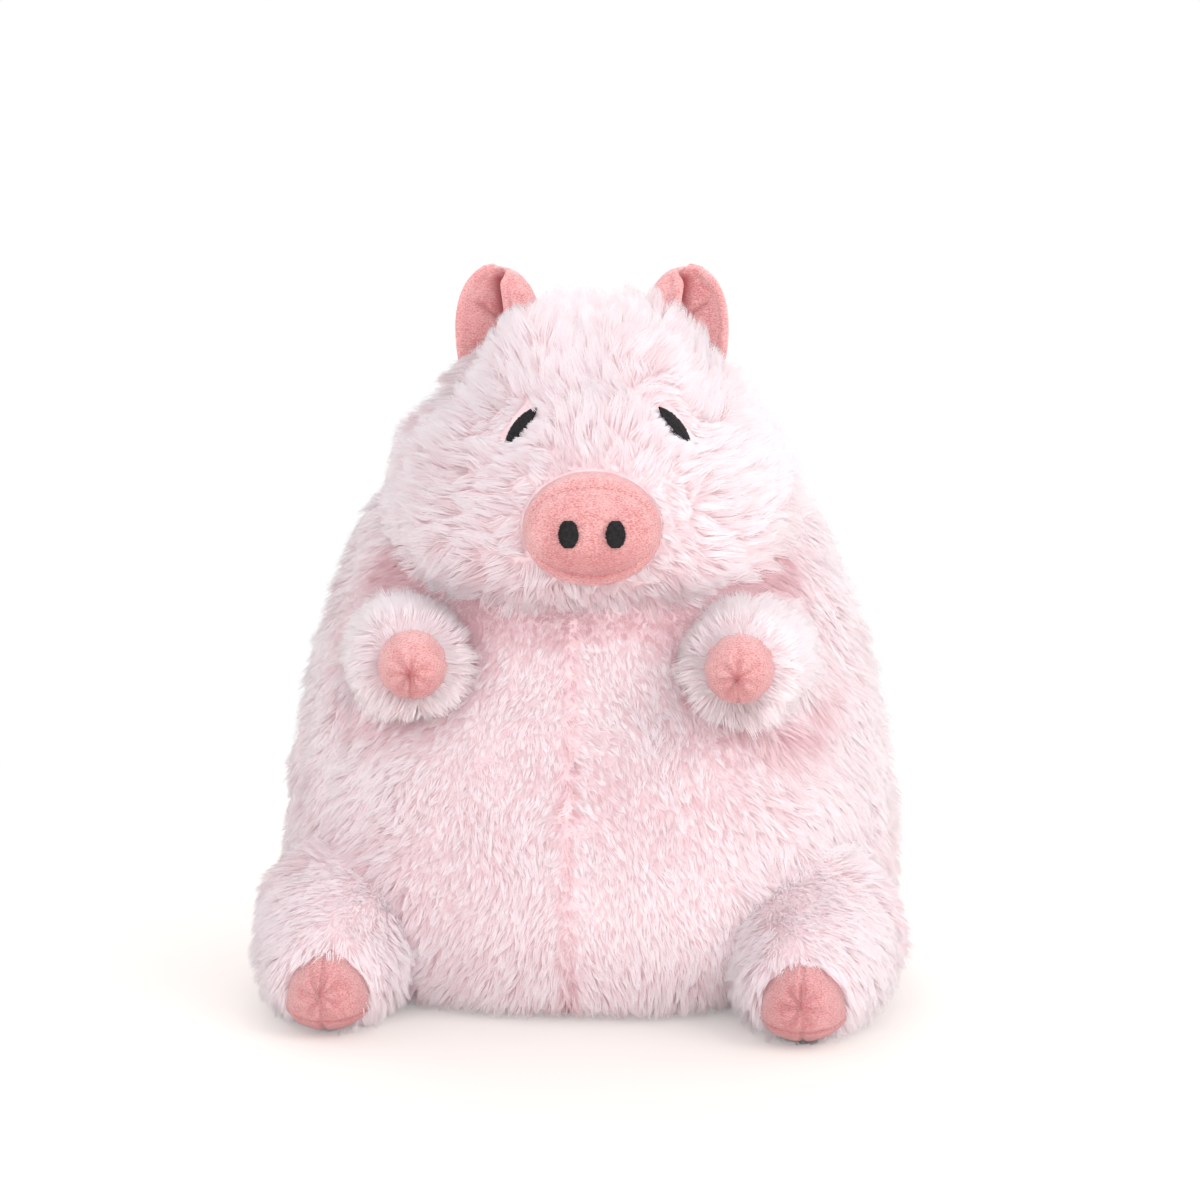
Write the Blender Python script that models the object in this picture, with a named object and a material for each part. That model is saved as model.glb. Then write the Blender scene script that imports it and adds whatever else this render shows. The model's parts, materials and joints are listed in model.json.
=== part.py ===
"""A seated plush pig: long-pile body and head, short-pile ears, snout, hooves and tail.

Metres, +Z up. The pig faces -Y and sits on the flat bottom of its body, centred on the origin.
Left and right are those of the picture, seen from the front: left is -X.
Every stuffed form is a closed swell. Its cover is cut from the swell as panels with seam gaps
between them, and its filling is a smaller copy of the same swell.
"""

import math

import bmesh
import bpy
from mathutils import Matrix, Vector

# Sewing: cover materials, and the gaps that keep neighbouring pieces apart.
PLUSH_THICKNESS = 0.0032  # backing and the dense foot of the pile
MINKY_THICKNESS = 0.0016
SEAM_GAP = 0.0003
FIT_GAP = 0.0005
THREAD_HEIGHT = 0.0009
BASE_TOP = PLUSH_THICKNESS + FIT_GAP

# Body: a gumdrop that narrows all the way up and ends in a rounded shoulder under the head.
BODY_HALF_WIDTH = 0.116
BODY_FRONT_DEPTH = 0.102
BODY_BACK_DEPTH = 0.098
BODY_WIDEST_HEIGHT = 0.050
BASE_OVERREACH = 0.022  # how far below the seat the underside's curve would close
BODY_UNDERSIDE_DEPTH = BODY_WIDEST_HEIGHT + BASE_OVERREACH
BODY_TOP_HEIGHT = 0.232
SHOULDER_DROP = 0.042
SHOULDER_HEIGHT = BODY_TOP_HEIGHT - SHOULDER_DROP
FLANK_OVERREACH = 0.024  # how far above the top the flanks would meet without the shoulder
BODY_OUTLINE_HEIGHT = BODY_TOP_HEIGHT + FLANK_OVERREACH
BODY_TAPER = 1.6
BELLY_TAPER = 1.4
BACK_TAPER = 2.0
UNDERSIDE_TAPER = 2.5
SECTION_POWER = 2.15

# Head: a rounder swell, set on the front of the shoulder and turned a little to one side.
HEAD_HALF_WIDTH = 0.079
HEAD_FRONT_DEPTH = 0.095
HEAD_BACK_DEPTH = 0.066
HEAD_SET_FORWARD = 0.002
HEAD_RISE = 0.034
HEAD_HEIGHT = 0.128
CHEEK_RISE = 0.044
HEAD_TOP_HEIGHT = BODY_TOP_HEIGHT + HEAD_RISE
CHIN_HEIGHT = HEAD_TOP_HEIGHT - HEAD_HEIGHT
HEAD_WIDEST_HEIGHT = CHIN_HEIGHT + CHEEK_RISE
HEAD_TURN = math.radians(5.2)
CROWN_TAPER = 1.38
FACE_TAPER = 1.5
NAPE_TAPER = 1.7
CHIN_TAPER = 2.5

# Snout: a padded disc on a band.
SNOUT_RISE = 0.0021
SNOUT_HEIGHT = HEAD_WIDEST_HEIGHT + SNOUT_RISE
SNOUT_HALF_WIDTH = 0.0252
SNOUT_HALF_HEIGHT = 0.0203
SNOUT_FACE_HALF_WIDTH = 0.0238
SNOUT_FACE_HALF_HEIGHT = 0.0174
SNOUT_BAND_REACH = 0.018
SNOUT_DOME = 0.005
NOSTRIL_SPACING = 0.0166
NOSTRIL_RAISE = -0.0004
NOSTRIL_HALF_WIDTH = 0.0034
NOSTRIL_HALF_HEIGHT = 0.0050

# Eyes: two slanted, half-closed lenses of satin stitch.
EYE_SPACING = 0.0565
EYE_SET_ASIDE = 0.0022
EYE_RISE = 0.0380
EYE_HEIGHT = HEAD_WIDEST_HEIGHT + EYE_RISE
EYE_HALF_LENGTH = 0.0094
EYE_HALF_HEIGHT = 0.0026
EYE_SLANT = math.radians(49)

# Ears: two layers each, cupped, with the inner side folded forward over the front.
EAR_SPACING = 0.0715
EAR_SET_IN = 0.0045
EAR_BASE_SLOPE = math.radians(13)
EAR_RISE = 0.0312
EAR_ROOT_DEPTH = 0.0040
EAR_HALF_WIDTH = 0.0162
EAR_CUP_DEPTH = 0.0050
EAR_FOLD_RADIUS = 0.0036
EAR_FLAP_LENGTH = 0.0070
EAR_TOP_SHIFT = 0.0030
EAR_POINT_SHARE = 0.30
EAR_TAPER = 3.4
EAR_BACK_SWING = math.radians(-15)
EAR_FORWARD_SWING = math.radians(30)

# Arms: short sleeves that point forward, each with a hoof cap.
ARM_FLANK_MARGIN = 0.0520  # from the body's widest line in to the joint
ARM_SET_IN = 0.0063
ARM_SET_DOWN = 0.0962
ARM_HEIGHT = BODY_TOP_HEIGHT - ARM_SET_DOWN
ARM_ROOT_RADIUS = 0.0198
ARM_CUFF_RADIUS = 0.0165
ARM_SLEEVE_LENGTH = 0.0430
ARM_HOOF_RADIUS = 0.0131
ARM_HOOF_LENGTH = 0.0205
LEFT_ARM_TOE_IN = math.radians(11)
RIGHT_ARM_TOE_IN = math.radians(1.5)
ARM_DROOP = math.radians(1)
ARM_LOW_SWING = math.radians(-15)
ARM_HIGH_SWING = math.radians(15)

# Legs: thicker sleeves that lie forward along the floor.
LEG_FLANK_MARGIN = 0.0270
LEG_SET_IN = 0.0039
LEG_FLOOR_CUT = 0.0006
LEG_ROOT_RADIUS = 0.0306
LEG_CUFF_RADIUS = 0.0186
LEG_SLEEVE_LENGTH = 0.0480
LEG_HOOF_RADIUS = 0.0148
LEG_HOOF_LENGTH = 0.0220
LEG_TOE_IN = math.radians(3)
LEG_DROOP = math.radians(15)
LEG_LIFT = math.radians(20)
LIMB_TAPER = 1.5
HOOF_TAPER = 2.6

# Tail: a small curl of short-pile fabric on the back.
TAIL_HEIGHT = 0.060
TAIL_RADIUS = 0.0054
TAIL_CURL_RADIUS = 0.0085
TAIL_CURL_TURNS = 1.15
TAIL_CURL_PITCH = 0.0125
TAIL_THINNING_SHARE = 0.35

# Pellet bag: a flat pouch of weighting beads on the base.
BAG_HALF_WIDTH = 0.056
BAG_HALF_DEPTH = 0.048
BAG_HEIGHT = 0.030
BAG_TAPER = 3.0

# Facets.
BODY_QUARTER_STEPS = 6
HEAD_QUARTER_STEPS = 6
BAG_QUARTER_STEPS = 5
BODY_LOWER_RINGS = 4
BODY_UPPER_RINGS = 8
BAG_RINGS = 4
HEAD_LOWER_RINGS = 5
HEAD_UPPER_RINGS = 7
ARM_SIDES = 12
LEG_SIDES = 14
ROOT_RINGS = 2
SLEEVE_RINGS = 3
HOOF_RINGS = 4
SNOUT_SIDES = 24
PATCH_STEPS = 8
EAR_COLUMNS = 10
EAR_ROWS = 6
TAIL_SIDES = 8
TAIL_STEPS = 16
SWEEP_STEPS = 2
CUT_OVERRUN = 0.02

# Colours and roughness of the materials.
PLUSH_PINK = (0.91, 0.74, 0.78, 1)
MINKY_PINK = (0.80, 0.36, 0.36, 1)
THREAD_CHARCOAL = (0.030, 0.030, 0.033, 1)
FIBRE_WHITE = (0.86, 0.86, 0.84, 1)
BAG_CREAM = (0.72, 0.66, 0.54, 1)
PLUSH_ROUGHNESS = 0.95
MINKY_ROUGHNESS = 0.85
THREAD_ROUGHNESS = 0.6
FIBRE_ROUGHNESS = 1.0
BAG_ROUGHNESS = 0.9


def clear_scene():
    for obj in list(bpy.data.objects):
        bpy.data.objects.remove(obj, do_unlink=True)


def fabric(name, colour, roughness):
    material = bpy.data.materials.new(name)
    material.use_nodes = True
    shader = material.node_tree.nodes["Principled BSDF"]
    shader.inputs["Base Color"].default_value = colour
    shader.inputs["Roughness"].default_value = roughness
    shader.inputs["Metallic"].default_value = 0
    material.diffuse_color = colour
    return material


def add_object(name, mesh, material, parent=None):
    obj = bpy.data.objects.new(name, mesh)
    bpy.context.scene.collection.objects.link(obj)
    if material:
        mesh.materials.append(material)
        mesh.shade_smooth()
    obj.parent = parent
    return obj


def add_empty(name, location, rotation, parent=None):
    empty = bpy.data.objects.new(name, None)
    bpy.context.scene.collection.objects.link(empty)
    empty.location = location
    empty.rotation_euler = rotation
    empty.parent = parent
    return empty


def as_cutter(obj):
    obj.hide_render = True
    obj.display_type = "WIRE"
    return obj


def cut(obj, cutter):
    modifier = obj.modifiers.new("cut_" + cutter.name, "BOOLEAN")
    modifier.operation = "DIFFERENCE"
    modifier.solver = "EXACT"
    modifier.object = cutter


def finish_mesh(name, work):
    """Welds what meets at a pole, turns the faces outward and hands the mesh over."""
    bmesh.ops.remove_doubles(work, verts=work.verts, dist=SEAM_GAP / 30)
    bmesh.ops.recalc_face_normals(work, faces=work.faces)
    if work.calc_volume(signed=True) < 0:
        bmesh.ops.reverse_faces(work, faces=work.faces)
    mesh = bpy.data.meshes.new(name)
    work.to_mesh(mesh)
    work.free()
    return mesh


def skin_rings(name, rings, loop=False):
    """A closed mesh through rings of points. A ring of one point is a pole. A loop joins the last to the first."""
    work = bmesh.new()
    rows = [[work.verts.new(point) for point in ring] for ring in rings]
    pairs = list(zip(rows, rows[1:]))
    if loop:
        pairs.append((rows[-1], rows[0]))
    for near, far in pairs:
        count = max(len(near), len(far))
        for i in range(count):
            corners = [near[i % len(near)], near[(i + 1) % len(near)]]
            corners += [far[(i + 1) % len(far)], far[i % len(far)]]
            work.faces.new(list(dict.fromkeys(corners)))
    return finish_mesh(name, work)


def skin_leaf(name, near, far):
    """A closed mesh between two open grids of points of the same size."""
    work = bmesh.new()
    sides = [[[work.verts.new(point) for point in row] for row in grid] for grid in (near, far)]
    last_row = len(near) - 1
    last_column = len(near[0]) - 1
    for side in sides:
        for i in range(last_row):
            for j in range(last_column):
                work.faces.new((side[i][j], side[i][j + 1], side[i + 1][j + 1], side[i + 1][j]))
    front, back = sides
    for i in range(last_row):
        for j in (0, last_column):
            work.faces.new((front[i][j], front[i + 1][j], back[i + 1][j], back[i][j]))
    for j in range(last_column):
        for i in (0, last_row):
            work.faces.new((front[i][j], front[i][j + 1], back[i][j + 1], back[i][j]))
    return finish_mesh(name, work)


def swell(rise_share, taper):
    """Half-width of a swell at a height, as a share of its widest: 1 at the widest ring, 0 where it closes."""
    return math.sqrt(max(0, 1 - rise_share**taper))


def round_section(angle):
    """A point of the unit section, a circle drawn out a little towards its corners."""
    bend = 2 / SECTION_POWER
    across = math.copysign(abs(math.cos(angle)) ** bend, math.cos(angle))
    along = math.copysign(abs(math.sin(angle)) ** bend, math.sin(angle))
    return across, along


class Body:
    """The body's swell, grown outward by a margin, or drawn inward by a negative one."""

    centre = 0
    quarter_steps = BODY_QUARTER_STEPS

    def __init__(self, margin=0, bottom=0):
        self.margin = margin
        self.bottom = bottom
        self.top = BODY_TOP_HEIGHT + margin

    def half_sizes(self, height):
        """Half-width, front depth and back depth at a height."""
        if height < BODY_WIDEST_HEIGHT:
            share = (BODY_WIDEST_HEIGHT - height) / (BODY_UNDERSIDE_DEPTH + self.margin)
            tapers = (UNDERSIDE_TAPER,) * 3
        else:
            reach = BODY_OUTLINE_HEIGHT - BODY_WIDEST_HEIGHT + self.margin
            share = (height - BODY_WIDEST_HEIGHT) / reach
            tapers = (BODY_TAPER, BELLY_TAPER, BACK_TAPER)
        over_share = max(0, height - SHOULDER_HEIGHT) / (self.top - SHOULDER_HEIGHT)
        shoulder = swell(min(1, over_share), 2)
        sizes = (BODY_HALF_WIDTH, BODY_FRONT_DEPTH, BODY_BACK_DEPTH)
        return [(size + self.margin) * shoulder * swell(share, taper) for size, taper in zip(sizes, tapers)]

    def heights(self):
        lower = [BODY_WIDEST_HEIGHT * i / BODY_LOWER_RINGS for i in range(BODY_LOWER_RINGS)]
        lower.insert(1, BASE_TOP)
        lower = [height for height in lower if height >= self.bottom]
        reach = self.top - BODY_WIDEST_HEIGHT
        turn = math.pi / 2 / BODY_UPPER_RINGS
        return lower + [BODY_WIDEST_HEIGHT + reach * math.sin(turn * i) for i in range(BODY_UPPER_RINGS + 1)]


class Head:
    """The head's swell, about its own upright axis."""

    centre = -HEAD_SET_FORWARD
    quarter_steps = HEAD_QUARTER_STEPS

    def __init__(self, margin=0):
        self.margin = margin
        self.top = HEAD_TOP_HEIGHT + margin
        self.bottom = CHIN_HEIGHT - margin

    def half_sizes(self, height):
        if height < HEAD_WIDEST_HEIGHT:
            share = (HEAD_WIDEST_HEIGHT - height) / (HEAD_WIDEST_HEIGHT - self.bottom)
            tapers = (CHIN_TAPER,) * 3
        else:
            share = (height - HEAD_WIDEST_HEIGHT) / (self.top - HEAD_WIDEST_HEIGHT)
            tapers = (CROWN_TAPER, FACE_TAPER, NAPE_TAPER)
        sizes = (HEAD_HALF_WIDTH, HEAD_FRONT_DEPTH, HEAD_BACK_DEPTH)
        share = min(1, share)
        return [(size + self.margin) * swell(share, taper) for size, taper in zip(sizes, tapers)]

    def heights(self):
        drop = HEAD_WIDEST_HEIGHT - self.bottom
        lower_turn = math.pi / 2 / HEAD_LOWER_RINGS
        lower = [
            HEAD_WIDEST_HEIGHT - drop * math.sin(lower_turn * i) for i in range(HEAD_LOWER_RINGS, 0, -1)
        ]
        reach = self.top - HEAD_WIDEST_HEIGHT
        turn = math.pi / 2 / HEAD_UPPER_RINGS
        return lower + [HEAD_WIDEST_HEIGHT + reach * math.sin(turn * i) for i in range(HEAD_UPPER_RINGS + 1)]

    def crown_height(self, across):
        """Height of the crown's side outline at a distance from the head's axis."""
        rise_share = max(0, 1 - (across / HEAD_HALF_WIDTH) ** 2) ** (1 / CROWN_TAPER)
        return HEAD_WIDEST_HEIGHT + (self.top - HEAD_WIDEST_HEIGHT) * rise_share


def front_surface(form, across, height):
    """Y of a swell's front at a place on it."""
    half_width, front, _ = form.half_sizes(height)
    left_over = max(0, 1 - abs(across / half_width) ** SECTION_POWER)
    return form.centre - front * left_over ** (1 / SECTION_POWER)


def ring_points(form, height):
    half_width, front, back = form.half_sizes(height)
    if half_width <= FIT_GAP:
        return [(0, form.centre, height)]
    points = []
    count = 4 * form.quarter_steps
    for i in range(count):
        across, along = round_section(2 * math.pi * i / count)
        depth = front if along < 0 else back
        points.append((half_width * across, form.centre + depth * along, height))
    return points


def solid_form(name, form):
    """The whole swell as one closed mesh, with a flat bottom where it is cut by its lowest ring."""
    rings = [ring_points(form, height) for height in form.heights()]
    if len(rings[0]) > 1:
        rings.insert(0, [(0, form.centre, form.heights()[0])])
    return skin_rings(name, rings)


def panel_grid(form, heights, side, end):
    """A quarter of the swell's surface, held half a seam gap off the planes that part it from its neighbours."""
    half_gap = SEAM_GAP / 2
    grid = []
    for height in heights:
        half_width, front, back = form.half_sizes(height)
        depth = front if end < 0 else back
        row = []
        for j in range(form.quarter_steps + 1):
            across, along = round_section(math.pi / 2 * j / form.quarter_steps)
            x = half_gap + max(0, half_width - half_gap) * across
            y = half_gap + max(0, depth - half_gap) * along
            row.append((side * x, form.centre + end * y, height))
        grid.append(row)
    return grid


def panel(name, outer, inner, side, end, material, parent=None):
    """A sewn panel: a quarter of the cover between two swells."""
    outside = panel_grid(outer, outer.heights(), side, end)
    inside = panel_grid(inner, inner.heights(), side, end)
    return add_object(name, skin_leaf(name, outside, inside), material, parent)


def box_cutter(name, low, high):
    work = bmesh.new()
    bmesh.ops.create_cube(work, size=1)
    size = Vector(high) - Vector(low)
    middle = (Vector(high) + Vector(low)) / 2
    bmesh.ops.transform(work, matrix=Matrix.Translation(middle) @ Matrix.Diagonal(size).to_4x4(), verts=work.verts)
    return as_cutter(add_object(name, finish_mesh(name, work), None))


def sweep_cutter(name, points, frame, low, high):
    """The hull of what a limb passes through as it turns about its frame's X axis from low to high."""
    work = bmesh.new()
    for i in range(SWEEP_STEPS + 1):
        turn = Matrix.Rotation(low + (high - low) * i / SWEEP_STEPS, 4, "X")
        for point in points:
            work.verts.new(turn @ Vector(point))
    hull = bmesh.ops.convex_hull(work, input=work.verts)
    loose = [item for item in hull["geom_interior"] if isinstance(item, bmesh.types.BMVert)]
    bmesh.ops.delete(work, geom=loose, context="VERTS")
    return as_cutter(add_object(name, finish_mesh(name, work), None, frame))


class Limb:
    """Sizes of an arm or a leg. Its axis runs along local -Y from the joint's centre."""

    def __init__(self, root, cuff, length, hoof, hoof_length, sides):
        self.root = root
        self.cuff = cuff
        self.length = length
        self.hoof = hoof
        self.hoof_length = hoof_length
        self.sides = sides

    def sleeve_profile(self, inset):
        """(along, radius) from the pole behind the joint, over the root's ball, to the cuff."""
        root = self.root - inset
        cuff = self.cuff - inset
        points = []
        for i in range(ROOT_RINGS + 1):
            angle = math.pi / 2 * (1 - i / ROOT_RINGS)
            points.append((-root * math.sin(angle), root * math.cos(angle)))
        for i in range(1, SLEEVE_RINGS + 1):
            share = i / SLEEVE_RINGS
            points.append((self.length * share, root - (root - cuff) * share**LIMB_TAPER))
        points[0] = (-root, 0)
        return points

    def hoof_profile(self, inset, start):
        """(along, radius) from the hoof's open edge to its tip."""
        radius = self.hoof - inset
        tip = self.length + SEAM_GAP + self.hoof_length - inset
        points = []
        for i in range(HOOF_RINGS + 1):
            share = math.sin(math.pi / 2 * i / HOOF_RINGS)
            points.append((start + (tip - start) * share, radius * swell(share, HOOF_TAPER)))
        return points

    def rings(self, profile):
        rings = []
        for along, radius in profile:
            if radius <= 0:
                rings.append([(0, -along, 0)])
                continue
            turn = 2 * math.pi / self.sides
            rings.append(
                [
                    (radius * math.cos(turn * i), -along, radius * math.sin(turn * i))
                    for i in range(self.sides)
                ]
            )
        return rings


def build_limb(name, limb, swing_frame, lie_rotation, plush, minky, fibre, floor):
    """Sleeve, hoof and filling. They lie along the limb's axis, in a frame that swings about X."""
    lie_frame = add_empty(name + "_axis", (0, 0, 0), lie_rotation, swing_frame)
    outer = limb.sleeve_profile(0)
    inner = limb.sleeve_profile(PLUSH_THICKNESS)
    sleeve_mesh = skin_rings(name + "_sleeve", limb.rings(outer + inner[::-1]))
    sleeve = add_object(name + "_sleeve", sleeve_mesh, plush, lie_frame)

    rim = limb.length + SEAM_GAP
    outer = limb.hoof_profile(0, rim)
    inner = limb.hoof_profile(MINKY_THICKNESS, rim)
    hoof_mesh = skin_rings(name + "_hoof", limb.rings(outer[::-1] + inner))
    hoof = add_object(name + "_hoof", hoof_mesh, minky, lie_frame)

    in_sleeve = limb.sleeve_profile(PLUSH_THICKNESS + FIT_GAP)
    waist = limb.length - PLUSH_THICKNESS
    in_sleeve[-1] = (waist, min(in_sleeve[-1][1], limb.hoof - MINKY_THICKNESS - FIT_GAP))
    in_hoof = limb.hoof_profile(MINKY_THICKNESS + FIT_GAP, rim)
    filling_mesh = skin_rings(name + "_stuffing", limb.rings(in_sleeve + in_hoof))
    add_object(name + "_stuffing", filling_mesh, fibre, lie_frame)
    if floor:
        cut(sleeve, floor)
        cut(hoof, floor)


def limb_sweep(name, limb, swing_frame, lie_rotation, low, high):
    """Clearance for a limb: its sleeve's outline, grown by the fit gap, at every angle of its swing."""
    profile = limb.sleeve_profile(-FIT_GAP)
    lie = lie_rotation.to_matrix().to_4x4()
    points = [lie @ Vector(point) for ring in limb.rings(profile) for point in ring]
    return sweep_cutter(name + "_room", points, swing_frame, low, high)


def turned_by(droop, toe_in):
    """Rotation of a limb that points along -Y: down by the droop, then in or out by the toe-in."""
    return Matrix.Rotation(toe_in, 3, "Z") @ Matrix.Rotation(droop, 3, "X")


def build_arms(plush, minky, fibre):
    """Both arms, and the cutters that make room for them in the body."""
    limb = Limb(
        ARM_ROOT_RADIUS, ARM_CUFF_RADIUS, ARM_SLEEVE_LENGTH, ARM_HOOF_RADIUS, ARM_HOOF_LENGTH, ARM_SIDES
    )
    rooms = []
    across = BODY_HALF_WIDTH - ARM_FLANK_MARGIN
    centre_depth = front_surface(Body(), across, ARM_HEIGHT) + ARM_SET_IN
    for name, side, toe_in in (("arm_left", -1, LEFT_ARM_TOE_IN), ("arm_right", 1, RIGHT_ARM_TOE_IN)):
        place = (side * across, centre_depth, ARM_HEIGHT)
        swing_frame = add_empty(name + "_shoulder", place, (0, 0, 0))
        lie = turned_by(ARM_DROOP, -side * toe_in).to_euler()
        build_limb(name, limb, swing_frame, lie, plush, minky, fibre, None)
        rooms.append(limb_sweep(name, limb, swing_frame, lie, -ARM_HIGH_SWING, -ARM_LOW_SWING))
    return rooms


def build_legs(plush, minky, fibre):
    """Both legs, and the cutters that make room for them in the body."""
    limb = Limb(
        LEG_ROOT_RADIUS, LEG_CUFF_RADIUS, LEG_SLEEVE_LENGTH, LEG_HOOF_RADIUS, LEG_HOOF_LENGTH, LEG_SIDES
    )
    reach = BODY_HALF_WIDTH + LEG_ROOT_RADIUS + LEG_SLEEVE_LENGTH + LEG_HOOF_LENGTH
    floor = box_cutter("floor_cut", (-reach, -2 * reach, -CUT_OVERRUN), (reach, reach, 0))
    rooms = []
    across = BODY_HALF_WIDTH - LEG_FLANK_MARGIN
    height = LEG_ROOT_RADIUS - LEG_FLOOR_CUT
    centre_depth = front_surface(Body(), across, height) + LEG_SET_IN
    for name, side in (("leg_left", -1), ("leg_right", 1)):
        place = (side * across, centre_depth, height)
        swing_frame = add_empty(name + "_hip", place, (0, 0, 0))
        lie = turned_by(LEG_DROOP, -side * LEG_TOE_IN).to_euler()
        build_limb(name, limb, swing_frame, lie, plush, minky, fibre, floor)
        rooms.append(limb_sweep(name, limb, swing_frame, lie, -LEG_LIFT, 0))
    return rooms


def build_body(rooms, plush, fibre, bag_cloth):
    """Four upright panels, the base, the filling and the pellet bag."""
    outer = Body()
    inner = Body(-PLUSH_THICKNESS)
    panels = [
        panel("belly_panel_left", outer, inner, -1, -1, plush),
        panel("belly_panel_right", outer, inner, 1, -1, plush),
        panel("back_panel_left", outer, inner, -1, 1, plush),
        panel("back_panel_right", outer, inner, 1, 1, plush),
    ]

    edge = Body(-PLUSH_THICKNESS - SEAM_GAP)
    low_ring = ring_points(edge, 0)
    high_ring = [(x, y, PLUSH_THICKNESS) for x, y, _ in low_ring]
    base_mesh = skin_rings("base_panel", [[(0, 0, 0)], low_ring, high_ring, [(0, 0, PLUSH_THICKNESS)]])
    base = add_object("base_panel", base_mesh, plush)

    filling_form = Body(-PLUSH_THICKNESS - FIT_GAP, BASE_TOP)
    filling = add_object("body_stuffing", solid_form("body_stuffing", filling_form), fibre)

    add_object("pellet_bag", skin_rings("pellet_bag", bag_rings(BASE_TOP, 0)), bag_cloth)
    bag_room_mesh = skin_rings("pellet_bag_room", bag_rings(BASE_TOP - CUT_OVERRUN, FIT_GAP))
    bag_room = as_cutter(add_object("pellet_bag_room", bag_room_mesh, None))
    cut(filling, bag_room)
    for room in rooms:
        for piece in [*panels, base, filling]:
            cut(piece, room)


def bag_ring(size, height, margin):
    ring = []
    count = 4 * BAG_QUARTER_STEPS
    for i in range(count):
        across, along = round_section(2 * math.pi * i / count)
        x = (BAG_HALF_WIDTH + margin) * size * across
        y = (BAG_HALF_DEPTH + margin) * size * along
        ring.append((x, y, height))
    return ring


def bag_rings(bottom, margin):
    """Rings of the pellet bag from its flat bottom to its top, grown by a margin."""
    rings = [[(0, 0, bottom)]]
    if bottom < BASE_TOP:
        rings.append(bag_ring(1, bottom, margin))
    for i in range(BAG_RINGS):
        share = math.sin(math.pi / 2 * i / BAG_RINGS)
        rings.append(bag_ring(swell(share, BAG_TAPER), BASE_TOP + (BAG_HEIGHT + margin) * share, margin))
    rings.append([(0, 0, BASE_TOP + BAG_HEIGHT + margin)])
    return rings


def build_head(frame, ear_rooms, plush, fibre):
    """Two face panels, two panels behind and the filling, all trimmed where the body stands inside them."""
    outer = Head()
    inner = Head(-PLUSH_THICKNESS)
    pieces = [
        panel("face_panel_left", outer, inner, -1, -1, plush, frame),
        panel("face_panel_right", outer, inner, 1, -1, plush, frame),
        panel("head_back_left", outer, inner, -1, 1, plush, frame),
        panel("head_back_right", outer, inner, 1, 1, plush, frame),
    ]
    filling_mesh = solid_form("head_stuffing", Head(-PLUSH_THICKNESS - FIT_GAP))
    pieces.append(add_object("head_stuffing", filling_mesh, fibre, frame))
    body_room = as_cutter(add_object("body_room", solid_form("body_room", Body(FIT_GAP)), None))
    for piece in pieces:
        for room in [body_room, *ear_rooms]:
            cut(piece, room)


def snout_ring(half_width, half_height, depth):
    turn = 2 * math.pi / SNOUT_SIDES
    return [
        (half_width * math.cos(turn * i), depth, SNOUT_HEIGHT + half_height * math.sin(turn * i))
        for i in range(SNOUT_SIDES)
    ]


def snout_seam_depth():
    """Y of the seam between the band and the face of the snout."""
    return front_surface(Head(), 0, SNOUT_HEIGHT) - SNOUT_BAND_REACH


def snout_band_rings(inset, front_inset):
    """Rings of the band from inside the head to the seam, drawn in by an inset."""
    back = front_surface(Head(), 0, SNOUT_HEIGHT) + SNOUT_BAND_REACH
    front = snout_seam_depth() + front_inset
    middle = front + SNOUT_BAND_REACH / 2
    near_seam_share = 0.82
    near_seam = middle + (front - middle) * near_seam_share
    waist_share = 0.6
    near_width = SNOUT_FACE_HALF_WIDTH + (SNOUT_HALF_WIDTH - SNOUT_FACE_HALF_WIDTH) * waist_share
    near_height = SNOUT_FACE_HALF_HEIGHT + (SNOUT_HALF_HEIGHT - SNOUT_FACE_HALF_HEIGHT) * waist_share
    return [
        snout_ring(SNOUT_HALF_WIDTH - inset, SNOUT_HALF_HEIGHT - inset, back),
        snout_ring(SNOUT_HALF_WIDTH - inset, SNOUT_HALF_HEIGHT - inset, middle),
        snout_ring(near_width - inset, near_height - inset, near_seam),
        snout_ring(SNOUT_FACE_HALF_WIDTH - inset, SNOUT_FACE_HALF_HEIGHT - inset, front),
    ]


def snout_face_rings(inset, seam):
    """Rings of the domed face from its seam to its middle."""
    rings = []
    steps = HOOF_RINGS
    for i in range(steps):
        angle = math.pi / 2 * i / steps
        share = math.cos(angle)
        rings.append(
            snout_ring(
                (SNOUT_FACE_HALF_WIDTH - inset) * share,
                (SNOUT_FACE_HALF_HEIGHT - inset) * share,
                seam - (SNOUT_DOME - inset) * math.sin(angle),
            )
        )
    rings.append([(0, seam - (SNOUT_DOME - inset), SNOUT_HEIGHT)])
    return rings


def build_snout(frame, minky, fibre, thread):
    seam = snout_seam_depth()
    head_room = as_cutter(add_object("head_room", solid_form("head_room", Head(FIT_GAP)), None, frame))
    band_rings = snout_band_rings(0, 0) + snout_band_rings(MINKY_THICKNESS, 0)[::-1]
    band = add_object("snout_band", skin_rings("snout_band", band_rings, loop=True), minky, frame)

    face_seam = seam - SEAM_GAP
    face_rings = snout_face_rings(0, face_seam)[::-1] + snout_face_rings(MINKY_THICKNESS, face_seam)
    add_object("snout_face", skin_rings("snout_face", face_rings), minky, frame)

    inset = MINKY_THICKNESS + FIT_GAP
    in_band = snout_band_rings(inset, 0)
    in_face = snout_face_rings(inset, face_seam)[1:]
    behind = [(0, in_band[0][0][1], SNOUT_HEIGHT)]
    filling_mesh = skin_rings("snout_stuffing", [behind, *in_band, *in_face])
    filling = add_object("snout_stuffing", filling_mesh, fibre, frame)
    cut(band, head_room)
    cut(filling, head_room)

    for name, side in (("nostril_left", -1), ("nostril_right", 1)):
        centre = (side * NOSTRIL_SPACING / 2, SNOUT_HEIGHT + NOSTRIL_RAISE)
        sizes = (NOSTRIL_HALF_HEIGHT, NOSTRIL_HALF_WIDTH)
        stitched_patch(name, centre, sizes, math.pi / 2, snout_surface, oval_share, thread, frame)


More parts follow.
